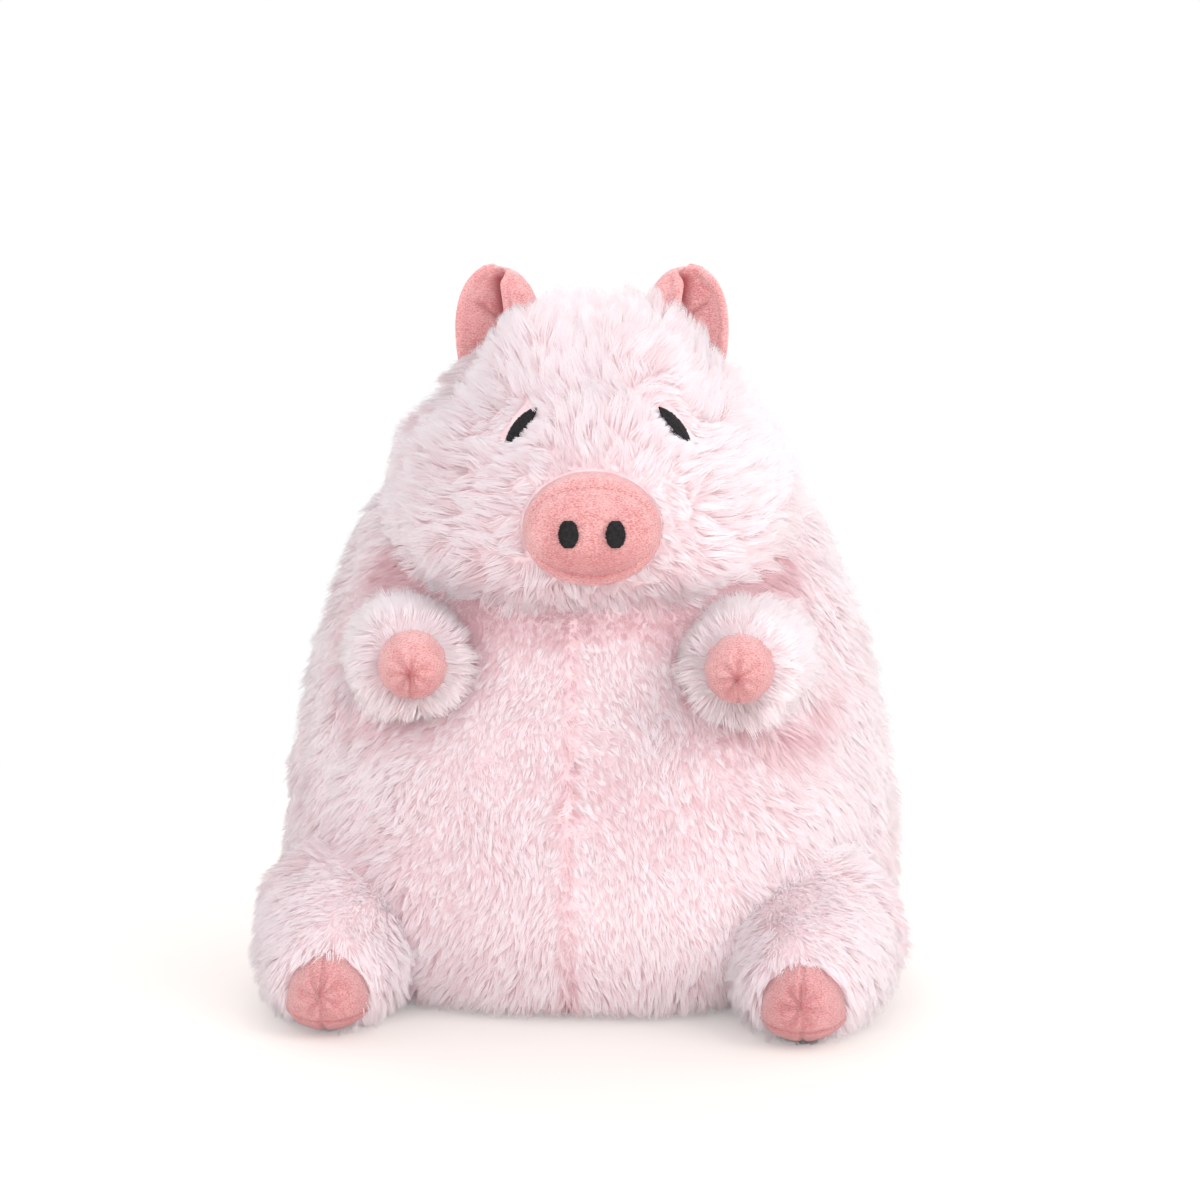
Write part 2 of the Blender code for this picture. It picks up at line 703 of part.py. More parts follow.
def snout_surface(across, height):
    """Y of the snout's domed face at a place on it."""
    up = height - SNOUT_HEIGHT
    share = math.hypot(across / SNOUT_FACE_HALF_WIDTH, up / SNOUT_FACE_HALF_HEIGHT)
    return snout_seam_depth() - SEAM_GAP - SNOUT_DOME * math.sqrt(max(0, 1 - share**2))


def oval_share(share):
    return math.sqrt(max(0, 1 - share**2))


def lens_share(share):
    return 1 - share**2


def stitched_patch(name, centre, sizes, slant, surface, outline, thread, frame):
    """A thin patch of thread on a surface. Its long axis leans by the slant from the horizontal."""
    half_length, half_height = sizes
    grids = ([], [])
    for i in range(PATCH_STEPS + 1):
        share = math.sin(math.pi * (i / PATCH_STEPS - 1 / 2))
        along = half_length * share
        rows = ([], [])
        for j in (-1, 0, 1):
            across = half_height * outline(share) * j
            x = centre[0] + along * math.cos(slant) - across * math.sin(slant)
            z = centre[1] + along * math.sin(slant) + across * math.cos(slant)
            behind = surface(x, z) - SEAM_GAP
            crown = THREAD_HEIGHT * outline(share) * (1 if j == 0 else 1 / 2)
            rows[0].append((x, behind, z))
            rows[1].append((x, behind - crown, z))
        grids[0].append(rows[0])
        grids[1].append(rows[1])
    return add_object(name, skin_leaf(name, *grids), thread, frame)


def build_eyes(frame, thread):
    for name, side in (("eye_left", -1), ("eye_right", 1)):
        centre = (side * EYE_SPACING / 2 + EYE_SET_ASIDE, EYE_HEIGHT)
        sizes = (EYE_HALF_LENGTH, EYE_HALF_HEIGHT)
        stitched_patch(name, centre, sizes, -side * EYE_SLANT, head_surface, lens_share, thread, frame)


def head_surface(across, height):
    """Y of the face at a place on it."""
    return front_surface(Head(), across, height)


def ear_section(share):
    """(point, outward normal) of the unfolded ear's width in plan, from its outer edge to its flap's free edge."""
    fold_x = EAR_HALF_WIDTH - EAR_FOLD_RADIUS
    run = EAR_HALF_WIDTH + fold_x
    bend = math.pi * EAR_FOLD_RADIUS
    total = run + bend + EAR_FLAP_LENGTH
    along = total * share
    if along <= run:
        x = -EAR_HALF_WIDTH + along
        curve = 1 - (x / EAR_HALF_WIDTH) ** 2
        slope = -2 * EAR_CUP_DEPTH * x / EAR_HALF_WIDTH**2
        rest = EAR_CUP_DEPTH * (1 - (fold_x / EAR_HALF_WIDTH) ** 2)
        return Vector((x, EAR_CUP_DEPTH * curve - rest, 0)), Vector((-slope, 1, 0)).normalized()
    if along <= run + bend:
        angle = (along - run) / EAR_FOLD_RADIUS
        normal = Vector((math.sin(angle), math.cos(angle), 0))
        return Vector((fold_x, -EAR_FOLD_RADIUS, 0)) + normal * EAR_FOLD_RADIUS, normal
    return Vector((fold_x - (along - run - bend), -2 * EAR_FOLD_RADIUS, 0)), Vector((0, -1, 0))


def ear_grid(side, offset):
    """Points of one face of an ear, from its root to its top, offset outward from the middle of its thickness."""
    grid = []
    for i in range(EAR_ROWS + 1):
        rise_share = math.sin(math.pi / 2 * i / EAR_ROWS)
        height = -EAR_ROOT_DEPTH + (EAR_RISE + EAR_ROOT_DEPTH) * rise_share
        width = max(EAR_POINT_SHARE, swell(rise_share, EAR_TAPER))
        row = []
        for j in range(EAR_COLUMNS + 1):
            point, normal = ear_section(j / EAR_COLUMNS)
            place = point * width + normal * offset
            x = place.x + EAR_TOP_SHIFT * rise_share
            row.append((-side * x, place.y, height))
        grid.append(row)
    return grid


def build_ears(head_frame, minky):
    """Both ears, and the cutters that make room for their roots in the head."""
    rooms = []
    across = EAR_SPACING / 2
    height = Head().crown_height(across) - EAR_SET_IN
    for name, side in (("ear_left", -1), ("ear_right", 1)):
        place = (side * across, 0, height)
        hinge = add_empty(name + "_hinge", place, (0, side * EAR_BASE_SLOPE, 0), head_frame)
        near = SEAM_GAP / 2
        far = near + MINKY_THICKNESS
        back_mesh = skin_leaf(name + "_back", ear_grid(side, near), ear_grid(side, far))
        add_object(name + "_back", back_mesh, minky, hinge)
        lining_mesh = skin_leaf(name + "_lining", ear_grid(side, -near), ear_grid(side, -far))
        add_object(name + "_lining", lining_mesh, minky, hinge)
        grown = [*ear_grid(side, far + FIT_GAP), *ear_grid(side, -far - FIT_GAP)]
        points = [point for row in grown for point in row]
        points += [(x, y, z - FIT_GAP) for x, y, z in grown[0] + grown[len(grown) // 2]]
        rooms.append(sweep_cutter(name + "_room", points, hinge, EAR_BACK_SWING, EAR_FORWARD_SWING))
    return rooms


def tail_path():
    """Middle line of the tail: straight off the back, then round a curl that drifts outward."""
    start = TAIL_CURL_RADIUS / 2
    points = [Vector((0, 0, 0)), Vector((0, start / 2, 0)), Vector((0, start, 0))]
    for i in range(1, TAIL_STEPS + 1):
        share = i / TAIL_STEPS
        angle = 2 * math.pi * TAIL_CURL_TURNS * share
        across = TAIL_CURL_RADIUS * math.sin(angle)
        up = TAIL_CURL_RADIUS * (1 - math.cos(angle))
        points.append(Vector((across, start + TAIL_CURL_PITCH * share, up)))
    return points


def build_tail(minky):
    """A curled tube with rounded ends. Its root's ball turns on the back panel."""
    _, _, back = Body().half_sizes(TAIL_HEIGHT)
    place = (0, back + SEAM_GAP + TAIL_RADIUS, TAIL_HEIGHT)
    root = add_empty("tail_root", place, (0, 0, 0))
    path = tail_path()
    rings = [[path[0] - Vector((0, TAIL_RADIUS, 0))]]
    side = Vector((1, 0, 0))
    last = len(path) - 1
    for i, point in enumerate(path):
        ahead = (path[min(i + 1, last)] - path[max(i - 1, 0)]).normalized()
        side = (side - ahead * side.dot(ahead)).normalized()
        up = ahead.cross(side)
        radius = TAIL_RADIUS * (1 - TAIL_THINNING_SHARE * i / last)
        if i == 0:
            low = TAIL_RADIUS / math.sqrt(2)
            rings.append([point - ahead * low + offset for offset in circle(side, up, low, TAIL_SIDES)])
        rings.append([point + offset for offset in circle(side, up, radius, TAIL_SIDES)])
    half = radius / math.sqrt(2)
    rings.append([path[-1] + ahead * half + offset for offset in circle(side, up, half, TAIL_SIDES)])
    rings.append([path[-1] + ahead * radius])
    add_object("tail_cover", skin_rings("tail_cover", rings), minky, root)


def circle(side, up, radius, count):
    turn = 2 * math.pi / count
    return [(side * math.cos(turn * i) + up * math.sin(turn * i)) * radius for i in range(count)]


def main():
    clear_scene()
    plush = fabric("long_pile_plush", PLUSH_PINK, PLUSH_ROUGHNESS)
    minky = fabric("short_pile_minky", MINKY_PINK, MINKY_ROUGHNESS)
    thread = fabric("embroidery_thread", THREAD_CHARCOAL, THREAD_ROUGHNESS)
    fibre = fabric("polyester_fibre", FIBRE_WHITE, FIBRE_ROUGHNESS)
    bag_cloth = fabric("pellet_bag_cloth", BAG_CREAM, BAG_ROUGHNESS)

    rooms = build_arms(plush, minky, fibre) + build_legs(plush, minky, fibre)
    build_body(rooms, plush, fibre, bag_cloth)
    head_frame = add_empty("head_pose", (0, 0, 0), (0, 0, HEAD_TURN))
    ear_rooms = build_ears(head_frame, minky)
    build_head(head_frame, ear_rooms, plush, fibre)
    build_snout(head_frame, minky, fibre, thread)
    build_eyes(head_frame, thread)
    build_tail(minky)
    bpy.context.view_layer.update()


main()
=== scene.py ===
"""The looks of a seated plush pig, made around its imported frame.

Metres, +Z up. The pig faces -Y. Left and right are those of the picture: left is -X.
Skins are made from the CAD solids. The long pile is grown on them as three-sided strands.
A range is a pair of lengths: where something starts and where it is complete.
"""

import json
import math

import bmesh
import bpy
import numpy as np
from mathutils import Matrix, Vector
from mathutils.bvhtree import BVHTree
from mathutils.kdtree import KDTree


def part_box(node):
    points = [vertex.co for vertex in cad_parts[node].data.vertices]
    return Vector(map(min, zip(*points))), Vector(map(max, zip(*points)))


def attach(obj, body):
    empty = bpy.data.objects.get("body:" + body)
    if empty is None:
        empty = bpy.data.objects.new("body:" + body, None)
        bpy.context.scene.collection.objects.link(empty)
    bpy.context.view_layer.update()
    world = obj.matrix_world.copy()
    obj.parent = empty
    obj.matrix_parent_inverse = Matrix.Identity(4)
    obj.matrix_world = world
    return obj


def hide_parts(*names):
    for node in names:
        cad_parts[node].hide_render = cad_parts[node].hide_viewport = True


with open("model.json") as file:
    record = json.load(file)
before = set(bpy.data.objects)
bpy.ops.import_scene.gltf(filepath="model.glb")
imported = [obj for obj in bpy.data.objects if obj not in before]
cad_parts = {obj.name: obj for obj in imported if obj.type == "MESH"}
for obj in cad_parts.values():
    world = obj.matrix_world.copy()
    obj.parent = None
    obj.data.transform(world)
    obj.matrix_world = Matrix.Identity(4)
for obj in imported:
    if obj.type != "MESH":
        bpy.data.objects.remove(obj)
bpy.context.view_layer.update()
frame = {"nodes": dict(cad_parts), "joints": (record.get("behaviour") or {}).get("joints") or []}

# Camera, fitted to the photo.
CAMERA_DISTANCE = 1.100
CAMERA_ELEVATION = math.radians(6)
CAMERA_TURN = math.radians(5.2)
CAMERA_TARGET_HEIGHT = 0.1476
CAMERA_FRAME_WIDTH = 0.4764
CAMERA_SHIFT = 0.0067
SENSOR_WIDTH = 0.036
MILLIMETRES = 1000

# The head is turned like the camera.
HEAD_TURN = math.radians(5.2)
HEAD_ACROSS = np.array([math.cos(HEAD_TURN), math.sin(HEAD_TURN), 0])
HEAD_AHEAD = np.array([math.sin(HEAD_TURN), -math.cos(HEAD_TURN), 0])
UP = np.array([0, 0, 1.0])

# Nodes, and the joint that moves each limb.
LIMBS = {"arm_left": "_swing", "arm_right": "_swing", "leg_left": "_lift", "leg_right": "_lift"}
NODES_OF_HEAD = ["face_panel_left", "face_panel_right", "head_back_left", "head_back_right"]
NODES_OF_BODY = ["belly_panel_left", "belly_panel_right", "back_panel_left", "back_panel_right", "base_panel"]
NODES_OF_TORSO = NODES_OF_BODY + ["body_stuffing", "pellet_bag"] + NODES_OF_HEAD + ["head_stuffing"]

# Skins.
TORSO_VOXEL = 0.0045
LIMB_VOXEL = 0.0030
SNOUT_VOXEL = 0.0011
HOOF_VOXEL = 0.0010
TAIL_VOXEL = 0.0009
EAR_VOXEL = 0.0006
PATCH_VOXEL = 0.0004
TORSO_SMOOTHING = 5
LIMB_SMOOTHING = 3
SEAM_BLEND = 0.0015  # from head to body, across their seam
PILE_FOOT = 0.0008  # how far the strands start under the skin
BALL_INSET = 0.0020  # of the balls under the limbs' roots
LEAST_BALL = 0.012
SOLE_HEIGHT = 0.0022  # of the legs' backing, so that their pile lies flat under it
SKIN_OUTSET = 0.0022
CROWN_INSET = 0.0024
CROWN_HEIGHT = 0.216
CROWN_BLEND = 0.012
CROWN_FILL = 0.0060  # how far the head is fuller between and beside its ears
CROWN_FILL_X = 0.023
CROWN_FILL_WIDTH = 0.011
CROWN_FILL_RANGE = (0.226, 0.244)
GROUND_RANGE = (0.002, 0.010)
CREASE_DEPTH = 0.0034  # of the fold between chin and belly
CREASE_REACH = 0.0060
CREASE_RANGE = (0.0, 0.04)
EYE_DIMPLE = 0.0140

# Cloth simulation of the skins: the covers swell between their seams.
SIM_FRAMES = 20
SIM_PRESSURE = 4
TORSO_SWELL = 0.0035
LIMB_SWELL = 0.0020
SEAM_REACH = 0.0060
FLOOR_HELD = 0.004
EYE_HELD = 0.010
ROOT_HELD_RANGE = (-0.01, 0.008)

# Strands: three-sided tapered tubes. Shares along the strand run from root to tip.
STRAND_RADIUS = 0.00015
STRAND_SPREAD = 0.35
STRAND_STATIONS = np.array([0.0, 0.45, 1.0])
STRAND_RADIUS_SHARES = np.array([0.9, 1.0])
STRAND_KINKS = np.array([0.0, 0.6, 1.0])
SHADE_OF_SKIN = 0.84  # how much a strand is shaded like the soft surface that the pile makes
SHADE_OF_TIP = 0.35  # how far that surface faces the way the tips point
LIGHT_SPREAD = 0.38  # how far the light from above and ahead spreads through the pile
LIGHT_HEADING = np.array([0.10, -0.30, 0.90])
FLOOR_GAP = 0.0004
SHADING_SHARE = 0.03  # of the strands
SHORTENINGS = 6
SHORTENED_SHARE = 0.80
INSIDE_REACH = 0.020  # of another cover: roots inside it carry short strands
INSIDE_SHARE = 0.25

# Numbers of strands.
HEAD_STRANDS = 66000
BODY_STRANDS = 168000
ARM_STRANDS = 11000
LEG_STRANDS = 18000

# Pile lengths.
FACE_PILE = 0.0145
CROWN_PILE = 0.0110
BELLY_PILE = 0.0075
FLANK_PILE = 0.0125
BACK_PILE = 0.0125
CUFF_PILE = 0.0125
HEM_PILE = 0.0110
SEAT_PILE = 0.0040

# Clumps: the spacing of tufts, and of the locks that tufts gather into.
HEAD_TUFT = 0.0042
BODY_TUFT = 0.0031
HEAD_LOCK = 0.0105
BODY_LOCK = 0.0075

# Waves that bend the way the pile lies.
WAVE_COUNT = 5
LONG_WAVE = 0.085
SHORT_WAVE = 0.032
UNDERSIDE_SHADE = 0.18  # painted shade: the pile is rosier where it faces down

# The head's pile.
EAR_CLEARANCE = 0.003
CHIN_HEIGHT = 0.140
CHIN_REACH = 0.015
CHIN_RANGE = (0.02, 0.05)
CHIN_EDGE = 0.012
SPREAD_DEPTH = 0.02  # behind the snout, where the way the pile lies starts
BEHIND_RANGE = (-0.015, 0.020)
FACE_RANGE = (-0.01, 0.03)
# Painted light: towards the face's right, lit side its tufts vary less in colour, so the pile there is paler.
LIT_SIDE_RANGE = (0.01, 0.06)

# Eyes: how the pile stays off them.
EYE_SLANT = math.radians(49)
EYE_CLEAR_LENGTH = 0.0094
EYE_CLEAR_HEIGHT = 0.0020
EYE_NEAR = 0.020
EYE_LAP = 0.0008
EYE_LAP_ALONG = 0.0014
EYE_CROWDING = 0.0105
EYE_REACH = 0.012
EYE_PILE_RANGE = (0.006, 0.018)

# The body's pile. It parts at the belly seam.
SEAM_X = 0
PARTING = 0.022
PARTING_NEAR = 0.006
SEAM_THINNING = 0.0014
SEAM_SHADE = 0.0022
FLOOR_TOUCH = 0.0015
FOOT_RANGE = (0.003, 0.010)
TAIL_CLEARANCE = 0.005
DENSE_RANGE = (0.02, 0.06)
HEAD_CROWDING = 0.014
FRONT_RANGE = (0.02, 0.07)
BELLY_RANGE = (0.050, 0.085)
SEAT_RANGE = (0.001, 0.006)
HEM_HEIGHT = 0.012
HEM_REACH = 0.010
CHIN_SHADE = 0.015
CHIN_SHORT = 0.010
LIMB_RING = 0.033  # radius of the shade round the limbs' roots
LIMB_RING_WIDTH = 0.009
ARMS_ABOVE = 0.086
CONTRAST_RANGE = (0.0, 0.10)

# Heights between which the body's pile is one piece.
BANDS = (("low", -1, 0.045), ("mid", 0.045, 0.099), ("high", 0.099, 1))

# The limbs' pile.
LIMB_ROOT_RANGE = (-0.022, -0.006)
# Painted shade: the limbs' pile is rosier at their roots by the torso.
LIMB_ROOT_SHADE_RANGE = (-0.004, 0.012)
CAP_STEP = 0.006
HOOF_LAP_SHARE = 0.22  # of the hoof's radius: how far the pile may hang over its upper edge

# Snout.
SNOUT_CLEAR_SHARE = 1.03
SNOUT_HALF_WIDTH = 0.0252
SNOUT_HALF_HEIGHT = 0.0203
SNOUT_SEAM_ACROSS_SHARE = 0.94
SNOUT_SEAM_UP_SHARE = 0.77
SNOUT_STITCHES = 60
SNOUT_DOME = 0.0036
SNOUT_FRONT = 0.013
SNOUT_FRONT_FULL = 0.009
GROOVE_WIDTH = 0.0009
GROOVE_DEPTH = 0.0006
CUSHION_PLACE = 0.0028
CUSHION_WIDTH = 0.0018
CUSHION_RISE = 0.0004
SNOUT_THREAD_RADIUS = 0.00018
STITCH_SINK = 0.0005
STITCH_SKIM = 0.00005
NOSTRIL_RISE = 0.0003
NOSTRIL_PAD_SHARE = 0.80

# Satin stitches.
THREAD_RADIUS = 0.00026
THREAD_SPACING = 0.00042
THREAD_END_SHARE = 0.45
RAY_START = 0.02
RAY_LENGTH = 0.05
PATCH_INSET = 0.0001
OVAL_ROOM_SHARE = 1.03

# Hooves.
HOOF_NARROWING_SHARE = 0.46
HOOF_BROADENING_SHARE = 0.30
HOOF_TIP = 0.012
HOOF_TIP_FULL = 0.004
DIMPLE_WIDTH = 0.0020
DIMPLE_DEPTH = 0.0014
RIPPLE_PLACE = 0.0045
RIPPLE_WIDTH = 0.0040
RIPPLE_DEPTH = 0.0006
HOOF_SEAM_WIDTH = 0.0007
HOOF_SEAM_DEPTH = 0.0007

# Ears: the fold of the CAD, rounded.
EAR_HALF_WIDTH = 0.0162
EAR_RISE = 0.0298
EAR_ROOT_DEPTH = 0.004
EAR_CUP_DEPTH = 0.0052
EAR_FOLD_RADIUS = 0.0034
EAR_EDGE_X = 0.0042
EAR_LEAST_FLAP = 0.0005
EAR_TOP_SHIFT = 0.003
EAR_BASE_SLOPE = math.radians(13)
EAR_HALF_THICKNESS = 0.0015
EAR_TAPER = 2.8
EAR_LEAST_WIDTH_SHARE = 0.16
EAR_RIDGE_RADIUS = 0.0016
EAR_RIDGE_STEP = 0.0032
EAR_RIDGE_OUT = 0.0016
EAR_RIDGE_SHADE = 0.0008
EAR_FLAP_TOP_SHARE = 0.88
EAR_ROLL_RADIUS = 0.0019
EAR_CREASE_X = 0.0075
EAR_CREASE_RUN = 0.032
EAR_CREASE_WIDTH = 0.0016
EAR_CREASE_DEPTH = 0.0009
EAR_POCKET_STEP = 0.0012
EAR_POCKET_WIDTH = 0.0036
EAR_ROWS = 30
EAR_COLUMNS = 40
EAR_RIDGE_BALLS = 64
EAR_ROLL_BALLS = 96
EAR_TOP_BALLS = 24

# Colours.
# The pile's rosier root is partly its own colour and partly painted shade deep in the pile.
PILE_ROOT = (0.83, 0.55, 0.59)
PILE_MIDDLE = (0.93, 0.79, 0.83)
PILE_TIP = (0.955, 0.895, 0.930)
# Rosy and deep rose: colour that differs at random, and painted shade in creases, under the chin, round the
# limbs' roots and where the pile faces down.
PILE_ROSY = (0.78, 0.49, 0.53)
PILE_DEEP_SHADE = (0.70, 0.41, 0.45)
BACKING_PALE = (0.87, 0.72, 0.75)
BACKING_DARK = (0.80, 0.58, 0.62)
MINKY_COLOURS = ((0.90, 0.53, 0.53), (0.83, 0.39, 0.39), (0.68, 0.24, 0.25))
# Painted light: the ears' minky is a paler copy of the snout's, making up for the lamplight that their cups
# get less of.
EAR_PAINTED_LIGHT_COLOURS = ((1.00, 0.60, 0.60), (0.97, 0.47, 0.47), (0.80, 0.28, 0.29))
MINKY_SHADE = (0.46, 0.10, 0.11)  # painted shade: the colour of shade in folds, seams and the ears' pockets, and on the lower parts of snout and hooves
BLACK_COLOURS = ((0.006, 0.005, 0.006), (0.022, 0.020, 0.023))
PINK_COLOURS = ((0.52, 0.17, 0.18), (0.66, 0.26, 0.27))
BUMP_HEIGHT = 0.001

# Stage. Lamps: name, place, size, power and colour.
LAMP_TARGET = (0, 0, 0.14)
LAMPS = (
    ("key", (1.5, -0.9, 1.1), 1.5, 16.5, (1.0, 0.99, 0.97)),
    ("front", (-0.10, -1.8, 0.60), 1.6, 15, (1.0, 0.99, 0.995)),
    ("back", (-0.3, 1.4, 1.4), 1.5, 14, (1, 1, 1)),
    ("back_left", (-1.7, 0.6, 0.7), 1.5, 4, (1, 1, 1)),
    ("back_right", (1.5, 1.1, 0.8), 1.5, 6, (1, 1, 1)),
)
WORLD_COLOUR = (1.0, 0.98, 0.98, 1)
WORLD_BELOW = 0.76
WORLD_ABOVE = 0.89
FLOOR_COLOUR = (0.90, 0.845, 0.81, 1)
FLOOR_RADIUS = 6.0
FLOOR_FADE_RANGE = (0.22, 0.62)
FLOOR_WHITE_SHARE = 0.25


def link(name, mesh, material=None):
    obj = bpy.data.objects.new(name, mesh)
    bpy.context.scene.collection.objects.link(obj)
    if material:
        mesh.materials.append(material)
    return obj


def numbers(collection, field, width, kind=float):
    """One field of a Blender collection as an array."""
    values = np.empty(len(collection) * width, np.float32 if kind is float else np.int32)
    collection.foreach_get(field, values)
    return values.reshape(-1, width).astype(np.float64 if kind is float else np.int64)


def points_of(obj):
    return numbers(obj.data.vertices, "co", 3)


def normals_of(obj):
    return numbers(obj.data.vertices, "normal", 3)


def set_points(obj, points):
    obj.data.vertices.foreach_set("co", points.astype(np.float32).reshape(-1))
    obj.data.update()


def unit(vectors):
    return vectors / np.maximum(np.linalg.norm(vectors, axis=-1, keepdims=True), 1e-12)


def ramp_up(values, low, high):
    """0 below low, 1 above high, smooth between."""
    share = np.clip((values - low) / (high - low), 0, 1)
    return share * share * (3 - 2 * share)


def bell(values, width):
    return np.exp(-((values / width) ** 2))


def joint_place(name):
    return np.array(next(item for item in frame["joints"] if item["name"] == name)["pos_m"])


def middle(node):
    low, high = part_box(node)
    return np.array((low + high) / 2)


def mesh_of_nodes(names):
    """(points, faces) of CAD nodes together."""
    points = []
    faces = []
    count = 0
    for name in names:
        mesh = frame["nodes"][name].data
        mesh.calc_loop_triangles()
        points.append(numbers(mesh.vertices, "co", 3))
        faces.append(numbers(mesh.loop_triangles, "vertices", 3, int) + count)
        count += len(mesh.vertices)
    return np.concatenate(points), np.concatenate(faces)


def tree_of(names):
    points, faces = mesh_of_nodes(names)
    return BVHTree.FromPolygons([Vector(point) for point in points], faces.tolist())


def distances(points, names):
    """How far points are from CAD nodes."""
    tree = tree_of(names)
    return np.array([tree.find_nearest(Vector(point))[3] for point in points])


# Materials.


def new_material(name, roughness, specular):
    material = bpy.data.materials.new(name)
    material.use_nodes = True
    nodes = material.node_tree.nodes
    shader = nodes["Principled BSDF"]
    set_sockets(shader, Roughness=roughness, Specular_IOR_Level=specular)
    return material, nodes, material.node_tree.links, shader


def set_sockets(node, **values):
    """Sets a node's inputs. An underscore in a name stands for a space."""
    for name, value in values.items():
        node.inputs[name.replace("_", " ")].default_value = value


def add_node(nodes, kind, **values):
    node = nodes.new("ShaderNode" + kind)
    set_sockets(node, **values)
    return node


def join(links, *pairs):
    """Each pair is a node, its output, another node and its input."""
    for source, output, target, socket in pairs:
        links.new(source.outputs[output], target.inputs[socket])


def colour_ramp(nodes, *stops):
    node = nodes.new("ShaderNodeValToRGB")
    for i, (place, colour) in enumerate(stops):
        element = node.color_ramp.elements[i] if i < 2 else node.color_ramp.elements.new(place)
        element.position = place
        element.color = (*colour, 1)
    return node


def colour_mix(nodes):
    node = nodes.new("ShaderNodeMix")
    node.data_type = "RGBA"
    return node


def pile_material(name):
    """From root to tip along V: a rosier root, partly the pile's own colour and partly painted shade deep in
    the pile, to a pale tip. Along U from deep rose over rosy to pale: colour that differs at random, and
    painted shade in creases, under the chin, round the limbs' roots and where the pile faces down.
    """
    material, nodes, links, shader = new_material(name, 0.75, 0.15)
    set_sockets(shader, Sheen_Weight=0.25, Sheen_Roughness=0.5)
    place = nodes.new("ShaderNodeUVMap")
    place.uv_map = "OFBake"
    split = add_node(nodes, "SeparateXYZ")
    along = colour_ramp(nodes, (0.0, PILE_ROOT), (1.0, PILE_TIP), (0.45, PILE_MIDDLE))
    rosy_share = colour_ramp(nodes, (0.05, (0.90,) * 3), (0.72, (0.0,) * 3))
    rose = colour_ramp(nodes, (0.0, PILE_DEEP_SHADE), (0.16, PILE_ROSY))
    mix = colour_mix(nodes)
    join(
        links,
        (place, "UV", split, 0),
        (split, "X", rose, "Fac"),
        (split, "X", rosy_share, "Fac"),
        (split, "Y", along, "Fac"),
        (rosy_share, "Color", mix, "Factor"),
        (along, "Color", mix, "A"),
        (rose, "Color", mix, "B"),
        (mix, "Result", shader, "Base Color"),
    )
    return material


def backing_material(name):
    """The knitted backing that shows between the tufts."""
    material, nodes, links, shader = new_material(name, 0.95, 0.1)
    coordinates = add_node(nodes, "TexCoord")
    noise = add_node(nodes, "TexNoise", Scale=180, Detail=4)
    colours = colour_ramp(nodes, (0.3, BACKING_DARK), (0.7, BACKING_PALE))
    bump = add_node(nodes, "Bump", Strength=0.5, Distance=BUMP_HEIGHT)
    join(
        links,
        (coordinates, "Object", noise, "Vector"),
        (noise, "Fac", colours, "Fac"),
        (noise, "Fac", bump, "Height"),
        (colours, "Color", shader, "Base Color"),
        (bump, "Normal", shader, "Normal"),
    )
    return material


def minky_material(name, pale, mid, deep):
    """Short velvety pile: brushed patches, a fine grain, a pale edge, and painted shade from the fold
    attribute in folds, seams and pockets and on lower parts.
    """
    material, nodes, links, shader = new_material(name, 0.85, 0.15)
    set_sockets(shader, Sheen_Weight=0.9, Sheen_Roughness=0.28, Sheen_Tint=(1.0, 0.84, 0.86, 1))
    # The fold attribute holds painted shade: in folds, seams and the ears' pocket, and on the lower parts of
    # snout and hooves.
    fold = nodes.new("ShaderNodeAttribute")
    fold.attribute_name = "fold"
    shaded = colour_mix(nodes)
    set_sockets(shaded, B=(*MINKY_SHADE, 1))
    coordinates = add_node(nodes, "TexCoord")
    rows = add_node(nodes, "Mapping", Scale=(1, 1, 2.2))
    patches = add_node(nodes, "TexNoise", Scale=90, Detail=5, Roughness=0.6)
    fine = add_node(nodes, "TexNoise", Scale=1150, Detail=3, Roughness=0.7)
    share = add_node(nodes, "Mix", Factor=0.78)
    colours = colour_ramp(nodes, (0.42, deep), (0.58, pale), (0.50, mid))
    bump = add_node(nodes, "Bump", Strength=1.0, Distance=BUMP_HEIGHT)
    join(
        links,
        (coordinates, "Object", patches, "Vector"),
        (coordinates, "Object", rows, "Vector"),
        (rows, "Vector", fine, "Vector"),
        (patches, "Fac", share, "A"),
        (fine, "Fac", share, "B"),
        (share, "Result", colours, "Fac"),
        (fine, "Fac", bump, "Height"),
        (fold, "Fac", shaded, "Factor"),
        (colours, "Color", shaded, "A"),
        (shaded, "Result", shader, "Base Color"),
        (bump, "Normal", shader, "Normal"),
    )
    return material


def thread_material(name, colour, pale):
    material, nodes, links, shader = new_material(name, 0.6, 0.25)
    coordinates = add_node(nodes, "TexCoord")
    noise = add_node(nodes, "TexNoise", Scale=900, Detail=2)
    colours = colour_ramp(nodes, (0.35, colour), (0.75, pale))
    join(
        links,
        (coordinates, "Object", noise, "Vector"),
        (noise, "Fac", colours, "Fac"),
        (colours, "Color", shader, "Base Color"),
    )
    return material


# Skins.


def work_of(points, faces):
    work = bmesh.new()
    verts = [work.verts.new(point) for point in points]
    for face in faces:
        work.faces.new([verts[i] for i in face])
    return work


def add_balls(work, balls, subdivisions):
    for centre, radius in balls:
        place = Matrix.Translation(centre)
        bmesh.ops.create_icosphere(work, subdivisions=subdivisions, radius=radius, matrix=place)


def final_mesh(obj):
    graph = bpy.context.evaluated_depsgraph_get()
    return bpy.data.meshes.new_from_object(obj.evaluated_get(graph))


def apply_modifiers(obj):
    made = final_mesh(obj)
    obj.modifiers.clear()
    obj.data = made
    obj.data.shade_smooth()


